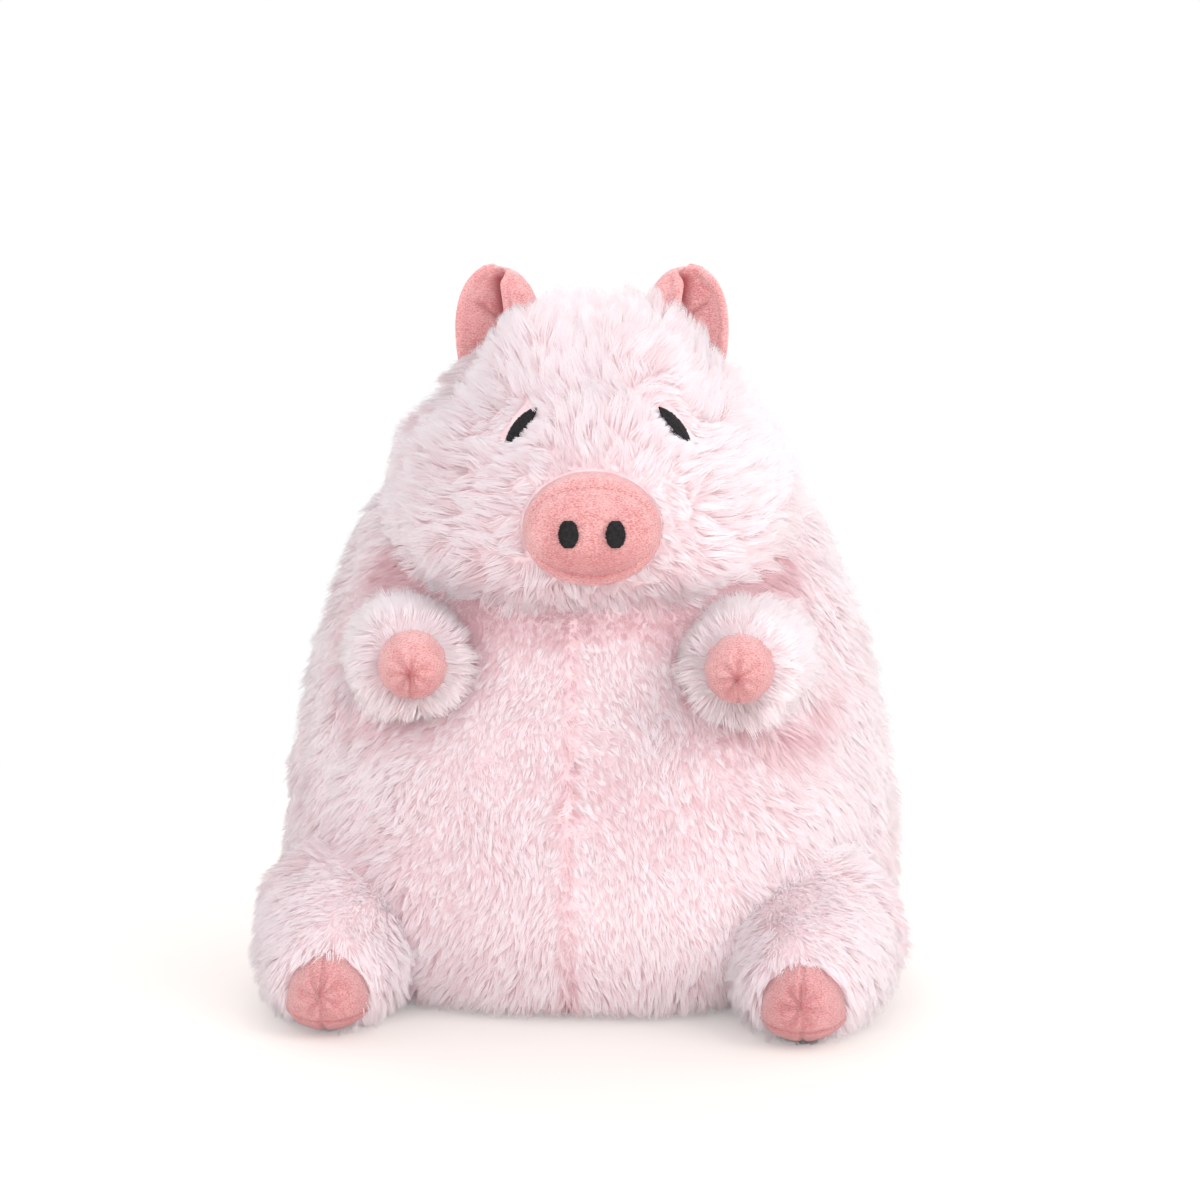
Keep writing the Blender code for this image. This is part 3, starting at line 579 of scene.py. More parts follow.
def remeshed(name, work, voxel, smoothing, material):
    """One even closed skin round the solids of a bmesh."""
    mesh = bpy.data.meshes.new(name)
    work.to_mesh(mesh)
    work.free()
    obj = link(name, mesh)
    remesh = obj.modifiers.new("remesh", "REMESH")
    remesh.mode = "VOXEL"
    remesh.voxel_size = voxel
    smooth = obj.modifiers.new("smooth", "SMOOTH")
    smooth.factor = 0.5
    smooth.iterations = smoothing
    apply_modifiers(obj)
    obj.data.materials.clear()
    obj.data.materials.append(material)
    return obj


def subdivided(obj):
    subdivision = obj.modifiers.new("subdivision", "SUBSURF")
    subdivision.levels = 1
    subdivision.render_levels = 1
    apply_modifiers(obj)


def puff(obj, held, swell):
    """Lets a cover swell under pressure between the seams that hold it, by no more than swell."""
    start = points_of(obj)
    group = obj.vertex_groups.new(name="held")
    for level in range(1, 11):
        share = level / 10
        indices = np.flatnonzero(np.abs(held - share) <= 0.05)
        group.add(indices.tolist(), share, "REPLACE")
    cloth = obj.modifiers.new("cloth", "CLOTH")
    settings = cloth.settings
    settings.quality = 4
    settings.use_pressure = True
    settings.uniform_pressure_force = SIM_PRESSURE
    settings.effector_weights.gravity = 0
    settings.vertex_group_mass = "held"
    cloth.point_cache.frame_start = 1
    cloth.point_cache.frame_end = SIM_FRAMES
    scene = bpy.context.scene
    for number in range(1, SIM_FRAMES + 1):
        scene.frame_set(number)
    made = final_mesh(obj)
    move = numbers(made.vertices, "co", 3) - start
    bpy.data.meshes.remove(made)
    obj.modifiers.clear()
    obj.vertex_groups.clear()
    scene.frame_set(1)
    reach = np.linalg.norm(move, axis=1, keepdims=True)
    print(obj.name, "swells by", round(float(reach.max()), 4), "before the cap")
    move *= np.minimum(1, swell / np.maximum(reach, 1e-9))
    set_points(obj, start + move)


def head_share(points):
    """1 on the head, 0 on the body, from which panels are nearer."""
    head = distances(points, NODES_OF_HEAD)
    body = distances(points, NODES_OF_BODY)
    return ramp_up(body - head, -SEAM_BLEND, SEAM_BLEND)


def gap_to(points, places):
    """Distance from the nearest of some places."""
    return np.min([np.linalg.norm(points - place, axis=1) for place in places], axis=0)


def eye_places():
    return [middle("eye_left"), middle("eye_right")]


def limb_axis(name):
    pivot = joint_place(name + LIMBS[name])
    return pivot, unit(middle(name + "_hoof") - pivot)


def balls_of_limbs():
    """Balls inside the torso's cover, on which the limbs' covers turn."""
    balls = []
    for name in LIMBS:
        pivot, _ = limb_axis(name)
        low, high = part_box(name + "_sleeve")
        outer = min(pivot[0] - low.x, high.x - pivot[0])
        balls.append((Vector(pivot), max(outer, LEAST_BALL) - BALL_INSET))
    return balls


def build_torso_skin(backing):
    balls = balls_of_limbs()
    work = work_of(*mesh_of_nodes(NODES_OF_TORSO))
    add_balls(work, balls, 4)
    torso = remeshed("torso_skin", work, TORSO_VOXEL, TORSO_SMOOTHING, backing)

    co = points_of(torso)
    head_at = head_share(co)
    eye_gap = gap_to(co, eye_places())
    crown = ramp_up(co[:, 2], CROWN_HEIGHT - CROWN_BLEND, CROWN_HEIGHT + CROWN_BLEND)
    outset = SKIN_OUTSET * (1 - crown) - CROWN_INSET * crown
    outset *= ramp_up(co[:, 2], *GROUND_RANGE) * (1 - bell(eye_gap, EYE_DIMPLE))
    seam_gap = np.maximum(distances(co, NODES_OF_HEAD), distances(co, NODES_OF_BODY))
    outset -= CREASE_DEPTH * bell(seam_gap, CREASE_REACH) * ramp_up(-co[:, 1], *CREASE_RANGE)
    co = co + normals_of(torso) * outset[:, None]
    fill = bell(np.abs(co[:, 0]) - CROWN_FILL_X, CROWN_FILL_WIDTH) * ramp_up(co[:, 2], *CROWN_FILL_RANGE)
    co[:, 2] += CROWN_FILL * fill
    set_points(torso, co)

    seam = bell(co[:, 0] - SEAM_X, SEAM_REACH) * (head_at < 0.5)
    crease = bell(2 * head_at - 1, 0.9)
    snout = bell(np.minimum(np.abs(snout_share(co) - 1), 3), 0.35) * (co[:, 1] < 0)
    floor = (co[:, 2] < FLOOR_HELD).astype(float)
    roots = np.max([bell(np.linalg.norm(co - np.array(c), axis=1), r * 1.1) for c, r in balls], axis=0)
    held = np.max([seam, crease, snout, bell(eye_gap, EYE_HELD), floor, roots], axis=0)
    puff(torso, held, TORSO_SWELL)
    subdivided(torso)
    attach(torso, "torso")
    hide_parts(*NODES_OF_TORSO)
    return torso


def build_limb_skin(name, backing):
    nodes = [name + "_sleeve", name + "_stuffing"]
    skin = remeshed(name + "_skin", work_of(*mesh_of_nodes(nodes)), LIMB_VOXEL, LIMB_SMOOTHING, backing)
    pivot, axis = limb_axis(name)
    along = (points_of(skin) - pivot) @ axis
    end = ramp_up(along, along.max() * 0.75, along.max() * 0.92)
    puff(skin, np.maximum(end, 1 - ramp_up(along, *ROOT_HELD_RANGE)), LIMB_SWELL)
    co = points_of(skin)
    co[:, 2] = np.maximum(co[:, 2], SOLE_HEIGHT)
    set_points(skin, co)
    subdivided(skin)
    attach(skin, name)
    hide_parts(*nodes)
    return skin


# Pile.


def waves(points, length, seed):
    """Smooth noise of a few crossing waves: three numbers for each point, mostly within one of zero."""
    rng = np.random.default_rng(seed)
    total = np.zeros((len(points), 3))
    for _ in range(WAVE_COUNT):
        heading = unit(rng.normal(size=(3, 3))) * 2 * math.pi / length
        heading *= rng.uniform(0.7, 1.5, (3, 1))
        total += np.sin(points @ heading.T + rng.uniform(0, 2 * math.pi, 3))
    return total * math.sqrt(2 / WAVE_COUNT) / 1.4


class Roots:
    """Random places on a skin where strands start."""

    def __init__(self, skin, vertex_density, count, seed):
        self.rng = np.random.default_rng(seed)
        mesh = skin.data
        mesh.calc_loop_triangles()
        corners = numbers(mesh.loop_triangles, "vertices", 3, int)
        areas = numbers(mesh.loop_triangles, "area", 1)[:, 0]
        chances = areas * vertex_density[corners].mean(axis=1)
        picked = self.rng.choice(len(corners), count, p=chances / chances.sum())
        first = np.sqrt(self.rng.random(count))
        second = self.rng.random(count)
        self.corners = corners[picked]
        self.shares = np.stack([1 - first, first * (1 - second), first * second], axis=1)
        self.points = self.blend(points_of(skin))
        self.normals = unit(self.blend(normals_of(skin)))
        self.area = float(areas[vertex_density[corners].max(axis=1) > 0].sum())

    def blend(self, vertex_values):
        """Values at the roots from values at the skin's vertices."""
        if vertex_values.ndim == 1:
            return (vertex_values[self.corners] * self.shares).sum(axis=1)
        return (vertex_values[self.corners] * self.shares[:, :, None]).sum(axis=1)


def on_surface(vectors, normals):
    """The part of each vector that lies on the surface, made one long."""
    return unit(vectors - normals * (vectors * normals).sum(axis=1, keepdims=True))


def nearest_guides(points, spacing, area, rng):
    """For each point the index of its guide: guides are some of the points, about a spacing apart."""
    count = max(8, int(area / spacing**2))
    guides = rng.choice(len(points), min(count, len(points)), replace=False)
    tree = KDTree(len(guides))
    for i, guide in enumerate(guides):
        tree.insert(points[guide], i)
    tree.balance()
    return guides[[tree.find(point)[1] for point in points]]


def strand_paths(roots, comb, length, lean_root, lean_tip):
    """Points along each strand. It leaves the skin at one lean and bends over to another."""
    normals = roots.normals
    start = normals * np.cos(lean_root)[:, None] + comb * np.sin(lean_root)[:, None]
    end = normals * np.cos(lean_tip)[:, None] + comb * np.sin(lean_tip)[:, None]
    foot = roots.points - normals * PILE_FOOT
    paths = []
    for share in STRAND_STATIONS:
        reach = start * (share - share**2 / 2) + end * share**2 / 2
        paths.append(foot + reach * length[:, None])
    return np.stack(paths, axis=1)


def gather(paths, guides, strength, spread):
    """Pulls strands towards their guide's path, more towards the tip."""
    pull = (strength[:, None] * STRAND_STATIONS[None, :] ** 1.3)[:, :, None]
    offset = paths[:, :1] - paths[guides][:, :1]
    target = paths[guides] + offset * spread
    return paths + (target - paths) * pull


def strand_mesh(name, paths, normals, tone_and_shade, rng):
    """A mesh of three-sided tapered strands. U carries colour that differs at random together with painted
    shade, and V runs from root to tip.
    """
    count = len(paths)
    ahead = unit(np.gradient(paths, axis=1))
    side = unit(np.cross(ahead, normals[:, None, :]))
    over = np.cross(ahead, side)
    turn = rng.uniform(0, 2 * math.pi, count)[:, None] + np.arange(3)[None, :] * 2 * math.pi / 3
    c = np.cos(turn)[:, None, :, None]
    s = np.sin(turn)[:, None, :, None]
    radial = side[:, :2, None] * c + over[:, :2, None] * s
    radius = STRAND_RADIUS * rng.uniform(1 - STRAND_SPREAD, 1 + STRAND_SPREAD, count)
    radius = (radius[:, None] * STRAND_RADIUS_SHARES[None, :])[:, :, None, None]
    rings = (paths[:, :2, None] + radial * radius).reshape(count, 6, 3)
    verts = np.concatenate([rings, paths[:, 2:]], axis=1)
    verts[:, :, 2] = np.maximum(verts[:, :, 2], FLOOR_GAP)
    corners = np.array([0, 1, 4, 3, 1, 2, 5, 4, 2, 0, 3, 5, 3, 4, 6, 4, 5, 6, 5, 3, 6])
    loops = np.arange(count)[:, None] * 7 + corners[None, :]
    starts = (np.arange(count)[:, None] * 21 + np.array([[0, 4, 8, 12, 15, 18]])).reshape(-1)
    sizes = np.tile([4, 4, 4, 3, 3, 3], count)

    mesh = bpy.data.meshes.new(name)
    mesh.vertices.add(count * 7)
    mesh.vertices.foreach_set("co", verts.astype(np.float32).reshape(-1))
    mesh.loops.add(count * 21)
    mesh.loops.foreach_set("vertex_index", loops.astype(np.int32).reshape(-1))
    mesh.polygons.add(count * 6)
    mesh.polygons.foreach_set("loop_start", starts.astype(np.int32))
    mesh.polygons.foreach_set("loop_total", sizes.astype(np.int32))
    mesh.update(calc_edges=True)
    mesh.shade_smooth()

    tip = ahead[:, 2]
    soft = unit(normals * (1 - SHADE_OF_TIP) + tip * SHADE_OF_TIP)
    soft = unit(soft + LIGHT_HEADING * LIGHT_SPREAD)[:, None, :]
    round_off = np.concatenate([radial.reshape(count, 6, 3), tip[:, None, :]], axis=1)
    shade = unit(soft * SHADE_OF_SKIN + round_off * (1 - SHADE_OF_SKIN))
    layer = mesh.attributes.new("custom_normal", "FLOAT_VECTOR", "POINT")
    layer.data.foreach_set("vector", shade.astype(np.float32).reshape(-1))

    half_breadth = 0.004
    across = np.array([-1, 0, 1, -1, 0, 1, 0])[corners] * half_breadth
    along = STRAND_STATIONS[[0, 0, 0, 1, 1, 1, 2]][corners]
    u = np.clip(tone_and_shade, 0.01, 0.99)[:, None] + across[None, :]
    v = np.broadcast_to(0.01 + 0.98 * along, (count, 21))
    layer = mesh.uv_layers.new(name="OFBake")
    layer.uv.foreach_set("vector", np.stack([u, v], axis=2).astype(np.float32).reshape(-1))
    return mesh


class Pile:
    """The strands of one skin before they become pieces."""

    def __init__(self, skin, density, count, seed):
        self.roots = Roots(skin, density, count, seed)
        self.kept = np.ones(count, bool)

    def grow(self, comb, length, lean_root, lean_tip, tuft, lock, tone_and_shade, contrast, tuft_spacing, lock_spacing):
        rng = self.roots.rng
        count = len(self.kept)
        area = self.roots.area
        comb = on_surface(comb + rng.normal(0, 0.26, (count, 3)), self.roots.normals)
        length = length * rng.uniform(0.72, 1.1, count)
        lean_root = lean_root + rng.normal(0, 0.12, count)
        lean_tip = lean_tip + rng.normal(0, 0.22, count)
        paths = strand_paths(self.roots, comb, length, lean_root, lean_tip)
        locks = nearest_guides(self.roots.points, lock_spacing, area, rng)
        paths = gather(paths, locks, lock, 0.5)
        tufts = nearest_guides(self.roots.points, tuft_spacing, area, rng)
        paths = gather(paths, tufts, tuft * rng.uniform(0.7, 1.1, count), 0.12)
        sideways = np.cross(comb, self.roots.normals)
        kink = (rng.normal(0, 0.07, count)[tufts] + rng.normal(0, 0.03, count)) * length
        paths += sideways[:, None, :] * (kink[:, None] * STRAND_KINKS[None, :])[:, :, None]
        chance = rng.random(count)
        # Colour that differs at random by lock and tuft is added to the painted shade that the callers put
        # in.
        odds = 0.10 * (chance[locks] - 0.5) + 0.72 * (chance[tufts] - 0.5) + 0.16 * (chance - 0.5)
        self.tone_and_shade = tone_and_shade + odds * contrast
        self.paths = paths

    def keep_clear(self, crosses):
        """Cuts short the strands that cross something, and drops those that still do."""
        for _ in range(SHORTENINGS):
            lost = crosses(self.paths)[:, None, None]
            foot = self.paths[:, :1]
            self.paths = np.where(lost, foot + (self.paths - foot) * SHORTENED_SHARE, self.paths)
        self.kept &= ~crosses(self.paths)

    def pieces(self, name, chosen, body, material):
        """Two pieces: most strands let lamplight through, as real pile does, and the others shade them."""
        rng = self.roots.rng
        shading = rng.random(len(self.kept)) < SHADING_SHARE
        for part, members in (("soft", ~shading), ("core", shading)):
            picked = np.flatnonzero(chosen & self.kept & members)
            normals = self.roots.normals[picked]
            mesh = strand_mesh(f"{name}_{part}", self.paths[picked], normals, self.tone_and_shade[picked], rng)
            obj = link(f"{name}_{part}", mesh, material)
            obj.visible_shadow = part == "core"
            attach(obj, body)
            print(obj.name, len(picked), "strands")


def shortened_inside(points, lengths, covers):
    """Lengths cut down where a root lies inside another soft cover, so that no tips poke out of it."""
    graph = bpy.context.evaluated_depsgraph_get()
    for cover in covers:
        tree = BVHTree.FromObject(cover, graph)
        for i, point in enumerate(points):
            place, normal, _, _ = tree.find_nearest(Vector(point), INSIDE_REACH)
            if place is not None and (Vector(point) - place).dot(normal) < 0:
                lengths[i] *= INSIDE_SHARE
    return lengths


def seen_from_snout(points):
    """Places across and above the middle of the snout's face."""
    away = points - middle("snout_face")
    return away @ HEAD_ACROSS, away[..., 2]


def oval_share(points, half_width, half_height):
    across, above = seen_from_snout(points)
    return np.hypot(across / half_width, above / half_height)


def snout_share(points):
    """Distance from the snout's axis as a share of the snout's own outline."""
    return oval_share(points, SNOUT_HALF_WIDTH, SNOUT_HALF_HEIGHT)


def push_off_snout(paths):
    """Moves the points of strands that hang over the snout to its rim."""
    _, band_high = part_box("snout_band")
    share = snout_share(paths)
    centre = middle("snout_face")
    over = (share < SNOUT_CLEAR_SHARE) & (paths[..., 1] < band_high.y)
    scale = np.where(over, SNOUT_CLEAR_SHARE / np.maximum(share, 0.2), 1)[..., None]
    away = paths - centre
    depth = (away @ HEAD_AHEAD)[..., None] * HEAD_AHEAD
    return centre + depth + (away - depth) * scale


def over_eye(paths, name, side):
    """Which strands cross an eye. A few may lap over its lower edge."""
    slant = EYE_SLANT * -side
    along = HEAD_ACROSS * math.cos(slant) + UP * math.sin(slant)
    over = np.cross(along, HEAD_AHEAD)
    away = paths - middle(name)
    u = away @ along - EYE_LAP_ALONG * np.sign(along[2])
    v = away @ over - EYE_LAP * np.sign(over[2])
    near = np.abs(away @ HEAD_AHEAD) < EYE_NEAR
    inside = ((u / EYE_CLEAR_LENGTH) ** 2 + (v / EYE_CLEAR_HEIGHT) ** 2 < 1) & near
    return inside.any(axis=1)


def near_node(points, name, reach):
    """1 at a node, 0 from a reach away."""
    return 1 - ramp_up(distances(points, [name]), reach * 0.4, reach)


def head_comb(p, n):
    """The pile spreads from the snout, hangs down behind and runs along the eyes."""
    snout = middle("snout_face")
    spread = unit(p - snout[None, :] - np.array([0, SPREAD_DEPTH, 0]))
    behind = ramp_up(p[:, 1], *BEHIND_RANGE)[:, None]
    down = np.array([[0.0, 0.0, -1.0]]) + np.array([[0.0, 1.3, 0.0]]) * np.clip(n[:, 2:], 0, 1)
    comb = spread * (1 - behind) + down * behind
    comb = comb + waves(p, LONG_WAVE, 5) * 0.30 + waves(p, SHORT_WAVE, 6) * 0.38
    comb[:, 2] -= 0.18 + 0.45 * chin_share(p)
    for eye, side in zip(eye_places(), (-1, 1)):
        along = np.array([side * math.cos(EYE_SLANT), 0, -math.sin(EYE_SLANT)])
        above = np.array([side * math.sin(EYE_SLANT), 0, math.cos(EYE_SLANT)])
        rise = np.where((p - eye) @ above > 0, -0.10, 0.25)[:, None]
        near = bell(np.linalg.norm(p - eye, axis=1), EYE_REACH)[:, None]
        comb = comb * (1 - near) + (along[None, :] + above[None, :] * rise) * near
    return on_surface(comb, n)


def chin_share(p):
    return bell(p[:, 2] - CHIN_HEIGHT, CHIN_REACH) * ramp_up(-p[:, 1], *CHIN_RANGE)


def head_pile(skin, head_at, material):
    co = points_of(skin)
    eye_gap = gap_to(co, eye_places())
    from_snout = np.where(co[:, 1] < 0, snout_share(co), 9)
    density = ramp_up(head_at, 0.25, 0.6) * ramp_up(from_snout, 0.88, 1.0)
    density *= 1 + 4.5 * bell(eye_gap, EYE_CROWDING)
    for name in ("ear_left_back", "ear_right_back", "ear_left_lining", "ear_right_lining"):
        density *= 1 - near_node(co, name, EAR_CLEARANCE)
    pile = Pile(skin, density, HEAD_STRANDS, 11)
    roots = pile.roots
    p = roots.points
    n = roots.normals
    gap_eye = roots.blend(eye_gap)
    gap_snout = roots.blend(np.minimum(from_snout, 3))
    gap_body = roots.blend(distances(co, NODES_OF_BODY))
    edge = roots.blend(1 - head_at) * 2
    chin = chin_share(p)
    near_eye = bell(gap_eye, EYE_REACH)

    face = ramp_up(-p[:, 1], *FACE_RANGE)
    length = FACE_PILE * face + CROWN_PILE * (1 - face)
    length *= 0.45 + 0.55 * ramp_up(gap_snout, 0.95, 1.9)
    length *= 0.40 + 0.60 * ramp_up(gap_eye, *EYE_PILE_RANGE)
    length *= 1 - 0.26 * chin
    length *= 1 - 0.12 * bell(gap_body, CHIN_EDGE) * ramp_up(-p[:, 1], *CHIN_RANGE)
    length *= 1 + 0.15 * waves(p, SHORT_WAVE, 7)[:, 0]
    lean_root = 0.62 - 0.25 * chin + 0.35 * near_eye
    lean_tip = 1.12 + 0.14 * waves(p, SHORT_WAVE, 8)[:, 1] - 0.10 * chin
    # Painted shade: rosier where the pile faces down and along the crease towards the body; a little paler
    # near the eyes.
    tone_and_shade = 0.78 + 0.12 * waves(p, LONG_WAVE, 9)[:, 0] + 0.10 * near_eye
    tone_and_shade += UNDERSIDE_SHADE * np.minimum(n[:, 2], 0) - 0.22 * edge
    tuft = 0.74 - 0.30 * chin
    lock = 0.50 - 0.36 * chin
    # Painted light: towards the right, lit side of the face the tufts vary less, so the pile there is paler.
    contrast = 0.85 - 0.25 * ramp_up(p[:, 0], *LIT_SIDE_RANGE)
    pile.grow(head_comb(p, n), length, lean_root, lean_tip, tuft, lock, tone_and_shade, contrast, HEAD_TUFT, HEAD_LOCK)
    pile.paths = push_off_snout(pile.paths)
    pile.keep_clear(lambda paths: over_eye(paths, "eye_left", -1))
    pile.keep_clear(lambda paths: over_eye(paths, "eye_right", 1))
    left = p[:, 0] < 0
    ahead = p[:, 1] < 0
    pile.pieces("fur_face_left", ahead & left, "torso", material)
    pile.pieces("fur_face_right", ahead & ~left, "torso", material)
    pile.pieces("fur_nape", ~ahead, "torso", material)


def body_density(co, head_at, head_gap):
    density = ramp_up(1 - head_at, 0.4, 0.75)
    density *= 0.35 + 0.65 * ramp_up(co[:, 2], *FOOT_RANGE)
    density[co[:, 2] < FLOOR_TOUCH] = 0.12
    density *= 1 - near_node(co, "tail_cover", TAIL_CLEARANCE)
    ahead = ramp_up(-co[:, 1], *DENSE_RANGE)
    density *= 1 + 1.3 * ahead
    density *= 1 - 0.3 * bell(co[:, 0] - SEAM_X, SEAM_THINNING) * (co[:, 1] < 0)
    density *= 1 + 1.2 * bell(head_gap, HEAD_CROWDING) * ahead
    return density


def body_pile(skin, head_at, material, limb_skins):
    co = points_of(skin)
    head_gap = distances(co, NODES_OF_HEAD)
    limb_gap = gap_to(co, [limb_axis(name)[0] for name in LIMBS])
    pile = Pile(skin, body_density(co, head_at, head_gap), BODY_STRANDS, 12)
    roots = pile.roots
    p = roots.points
    n = roots.normals

    # It hangs down and parts at the belly seam.
    front = ramp_up(-p[:, 1], *FRONT_RANGE)
    across = p[:, 0] - SEAM_X
    belly = front * (1 - ramp_up(np.abs(across), *BELLY_RANGE))
    comb = np.tile([0.0, 0.0, -1.0], (len(p), 1))
    comb = comb + waves(p, LONG_WAVE, 3) * 0.40 + waves(p, SHORT_WAVE, 4) * (0.30 - 0.08 * belly)[:, None]
    parting = bell(across, PARTING) * 0.35 + bell(across, PARTING_NEAR) * 0.30
    comb[:, 0] += np.sign(across) * parting * front
    comb[:, 0] += across * 3.0 * front
    comb = on_surface(comb, n)

    seat = 1 - ramp_up(p[:, 2], *SEAT_RANGE)
    hem = bell(p[:, 2] - HEM_HEIGHT, HEM_REACH)
    gap_head = roots.blend(head_gap)
    length = BELLY_PILE * belly + FLANK_PILE * front * (1 - belly) + BACK_PILE * (1 - front)
    length = length * (1 - hem) + HEM_PILE * hem
    length = length * (1 - seat) + SEAT_PILE * seat
    length *= 1 - 0.55 * bell(gap_head, CHIN_SHORT) * front
    length *= 1 + 0.14 * waves(p, SHORT_WAVE, 7)[:, 0]
    length = shortened_inside(p, length, limb_skins)
    lean_root = 0.62 - 0.12 * belly
    lean_tip = 1.12 - 0.14 * belly + 0.14 * waves(p, SHORT_WAVE, 8)[:, 1]
    tone_and_shade = 0.76 + 0.13 * waves(p, LONG_WAVE, 9)[:, 0] - 0.04 * belly
    # Painted shade: deep rose under the chin, rosier where the pile faces down, in a ring round the limbs'
    # roots (more round the arms) and along the parting at the belly seam.
    tone_and_shade -= 0.90 * bell(gap_head, CHIN_SHADE) * front
    tone_and_shade += UNDERSIDE_SHADE * np.minimum(n[:, 2], 0)
    ring = bell(roots.blend(limb_gap) - LIMB_RING, LIMB_RING_WIDTH)
    near_limb = np.where(p[:, 2] > ARMS_ABOVE, 0.55, 0.15) * ring
    tone_and_shade -= (near_limb + 0.55 * bell(across, SEAM_SHADE)) * front
    tuft = 0.72 + 0.04 * belly
    lock = 0.42 - 0.20 * belly
    contrast = 0.55 + 0.35 * belly * ramp_up(p[:, 2], *CONTRAST_RANGE)
    pile.grow(comb, length, lean_root, lean_tip, tuft, lock, tone_and_shade, contrast, BODY_TUFT, BODY_LOCK)
    left = p[:, 0] < 0
    ahead = p[:, 1] < 0
    for place, in_front in (("belly", ahead), ("back", ~ahead)):
        for side_name, on_side in (("left", left), ("right", ~left)):
            for band_name, low, high in BANDS:
                chosen = in_front & on_side & (p[:, 2] >= low) & (p[:, 2] < high)
                pile.pieces(f"fur_{place}_{side_name}_{band_name}", chosen, "torso", material)


def along_and_off(points, pivot, axis):
    """How far points are along a limb's axis, and how far off it."""
    away = points - pivot
    along = away @ axis
    return along, np.linalg.norm(away - along[..., None] * axis, axis=-1)


def limb_pile(name, skin, seed, material, torso):
    """Pile that runs along a limb and stands in a ring round its hoof."""
    is_leg = name.startswith("leg")
    pivot, axis = limb_axis(name)
    hoof_along, hoof_off = along_and_off(mesh_of_nodes([name + "_hoof"])[0], pivot, axis)
    hoof_radius = hoof_off.max()
    rim = hoof_along.min()
    along_at, radius_at = along_and_off(points_of(skin), pivot, axis)
    density = ramp_up(along_at, *LIMB_ROOT_RANGE)
    density[(along_at > rim - CAP_STEP) & (radius_at < hoof_radius * 0.72)] = 0
    count = LEG_STRANDS if is_leg else ARM_STRANDS
    pile = Pile(skin, density, count, seed)
    p = pile.roots.points
    n = pile.roots.normals
    along = (p - pivot) @ axis
    outward = unit(p - pivot - along[:, None] * axis)
    above = np.clip(n[:, 2:], 0, 1)
    upward = above[:, 0]
    if is_leg:
        aside = np.array([math.copysign(0.9, pivot[0]), 0, 0])
        comb = -UP + axis * (0.30 + 0.35 * above)
        comb = comb + outward * np.array([0.55, 0.55, 0]) * (1 - above) + aside * above
    else:
        comb = outward - axis * 0.45 - UP * 0.30
    noise = waves(p, LONG_WAVE, seed + 1) * 0.25 + waves(p, SHORT_WAVE, seed + 2) * 0.30
    comb = on_surface(comb + noise * (1 - 0.6 * above), n)
    length = CUFF_PILE * (1 + 0.12 * waves(p, SHORT_WAVE, seed + 3)[:, 0])
    length = shortened_inside(p, length * (1 - 0.22 * upward), [torso])
    tone_and_shade = 0.78 + 0.08 * waves(p, LONG_WAVE, seed + 4)[:, 0]
    # Painted shade: rosier where the pile faces down and at the limb's root by the torso.
    tone_and_shade += UNDERSIDE_SHADE * np.minimum(n[:, 2], 0)
    tone_and_shade -= 0.30 * (1 - ramp_up(along, *LIMB_ROOT_SHADE_RANGE))
    lean_root = 0.55 + 0.20 * upward
    lean_tip = 1.0 + 0.22 * upward
    tuft = 0.70 - 0.40 * upward
    lock = 0.40 - 0.25 * upward
    pile.grow(comb, length, lean_root, lean_tip, tuft, lock, tone_and_shade, 0.50, BODY_TUFT, BODY_LOCK)

    def over_hoof(paths):
        reach, radius = along_and_off(paths[:, 1:], pivot, axis)
        rise = (paths[:, 1:] - pivot)[..., 2] - reach * axis[2]
        lap = ramp_up(rise, 0, hoof_radius) * HOOF_LAP_SHARE
        return ((reach > rim) & (radius < hoof_radius * (0.95 - lap))).any(axis=1)

    pile.keep_clear(over_hoof)
    pile.pieces("fur_" + name, np.ones(count, bool), name, material)


# Minky parts and thread.


def set_painted_shade(obj, share):
    """Painted shade at each point for the minky material: in folds, seams and pockets, and on lower parts
    that turn from the light.
    """
    layer = obj.data.attributes.new("fold", "FLOAT", "POINT")
    layer.data.foreach_set("value", np.clip(share, 0, 1).astype(np.float32))


def thread_mesh(name, paths, radius, sides=6):
    """Round threads along paths of equal length, drawn in at both ends."""
    paths = np.asarray(paths)
    count, stations, _ = paths.shape
    ahead = unit(np.gradient(paths, axis=1))
    other = np.where(np.abs(ahead[..., 2:]) > 0.9, np.array([1.0, 0, 0]), np.array([0, 0, 1.0]))
    side = unit(np.cross(ahead, other))
    over = np.cross(side, ahead)
    angles = np.arange(sides) * 2 * math.pi / sides
    taper = np.ones(stations)
    taper[[0, -1]] = THREAD_END_SHARE
    c = np.cos(angles)[None, None, :, None]
    s = np.sin(angles)[None, None, :, None]
    ring = side[:, :, None] * c + over[:, :, None] * s
    verts = paths[:, :, None] + ring * radius * taper[None, :, None, None]
    faces = []
    for k in range(count):
        start = k * stations * sides
        for i in range(stations - 1):
            row = start + i * sides
            for j in range(sides):
                after = (j + 1) % sides
                faces.append((row + j, row + after, row + sides + after, row + sides + j))
        faces.append(tuple(range(start, start + sides)))
        last = start + (stations - 1) * sides
        faces.append(tuple(reversed(range(last, last + sides))))
    mesh = bpy.data.meshes.new(name)
    mesh.from_pydata(verts.reshape(-1, 3).tolist(), [], faces)
    mesh.validate()
    mesh.update()
    work = bmesh.new()
    work.from_mesh(mesh)
    bmesh.ops.recalc_face_normals(work, faces=work.faces)
    work.to_mesh(mesh)
    work.free()
    mesh.shade_smooth()
    return mesh


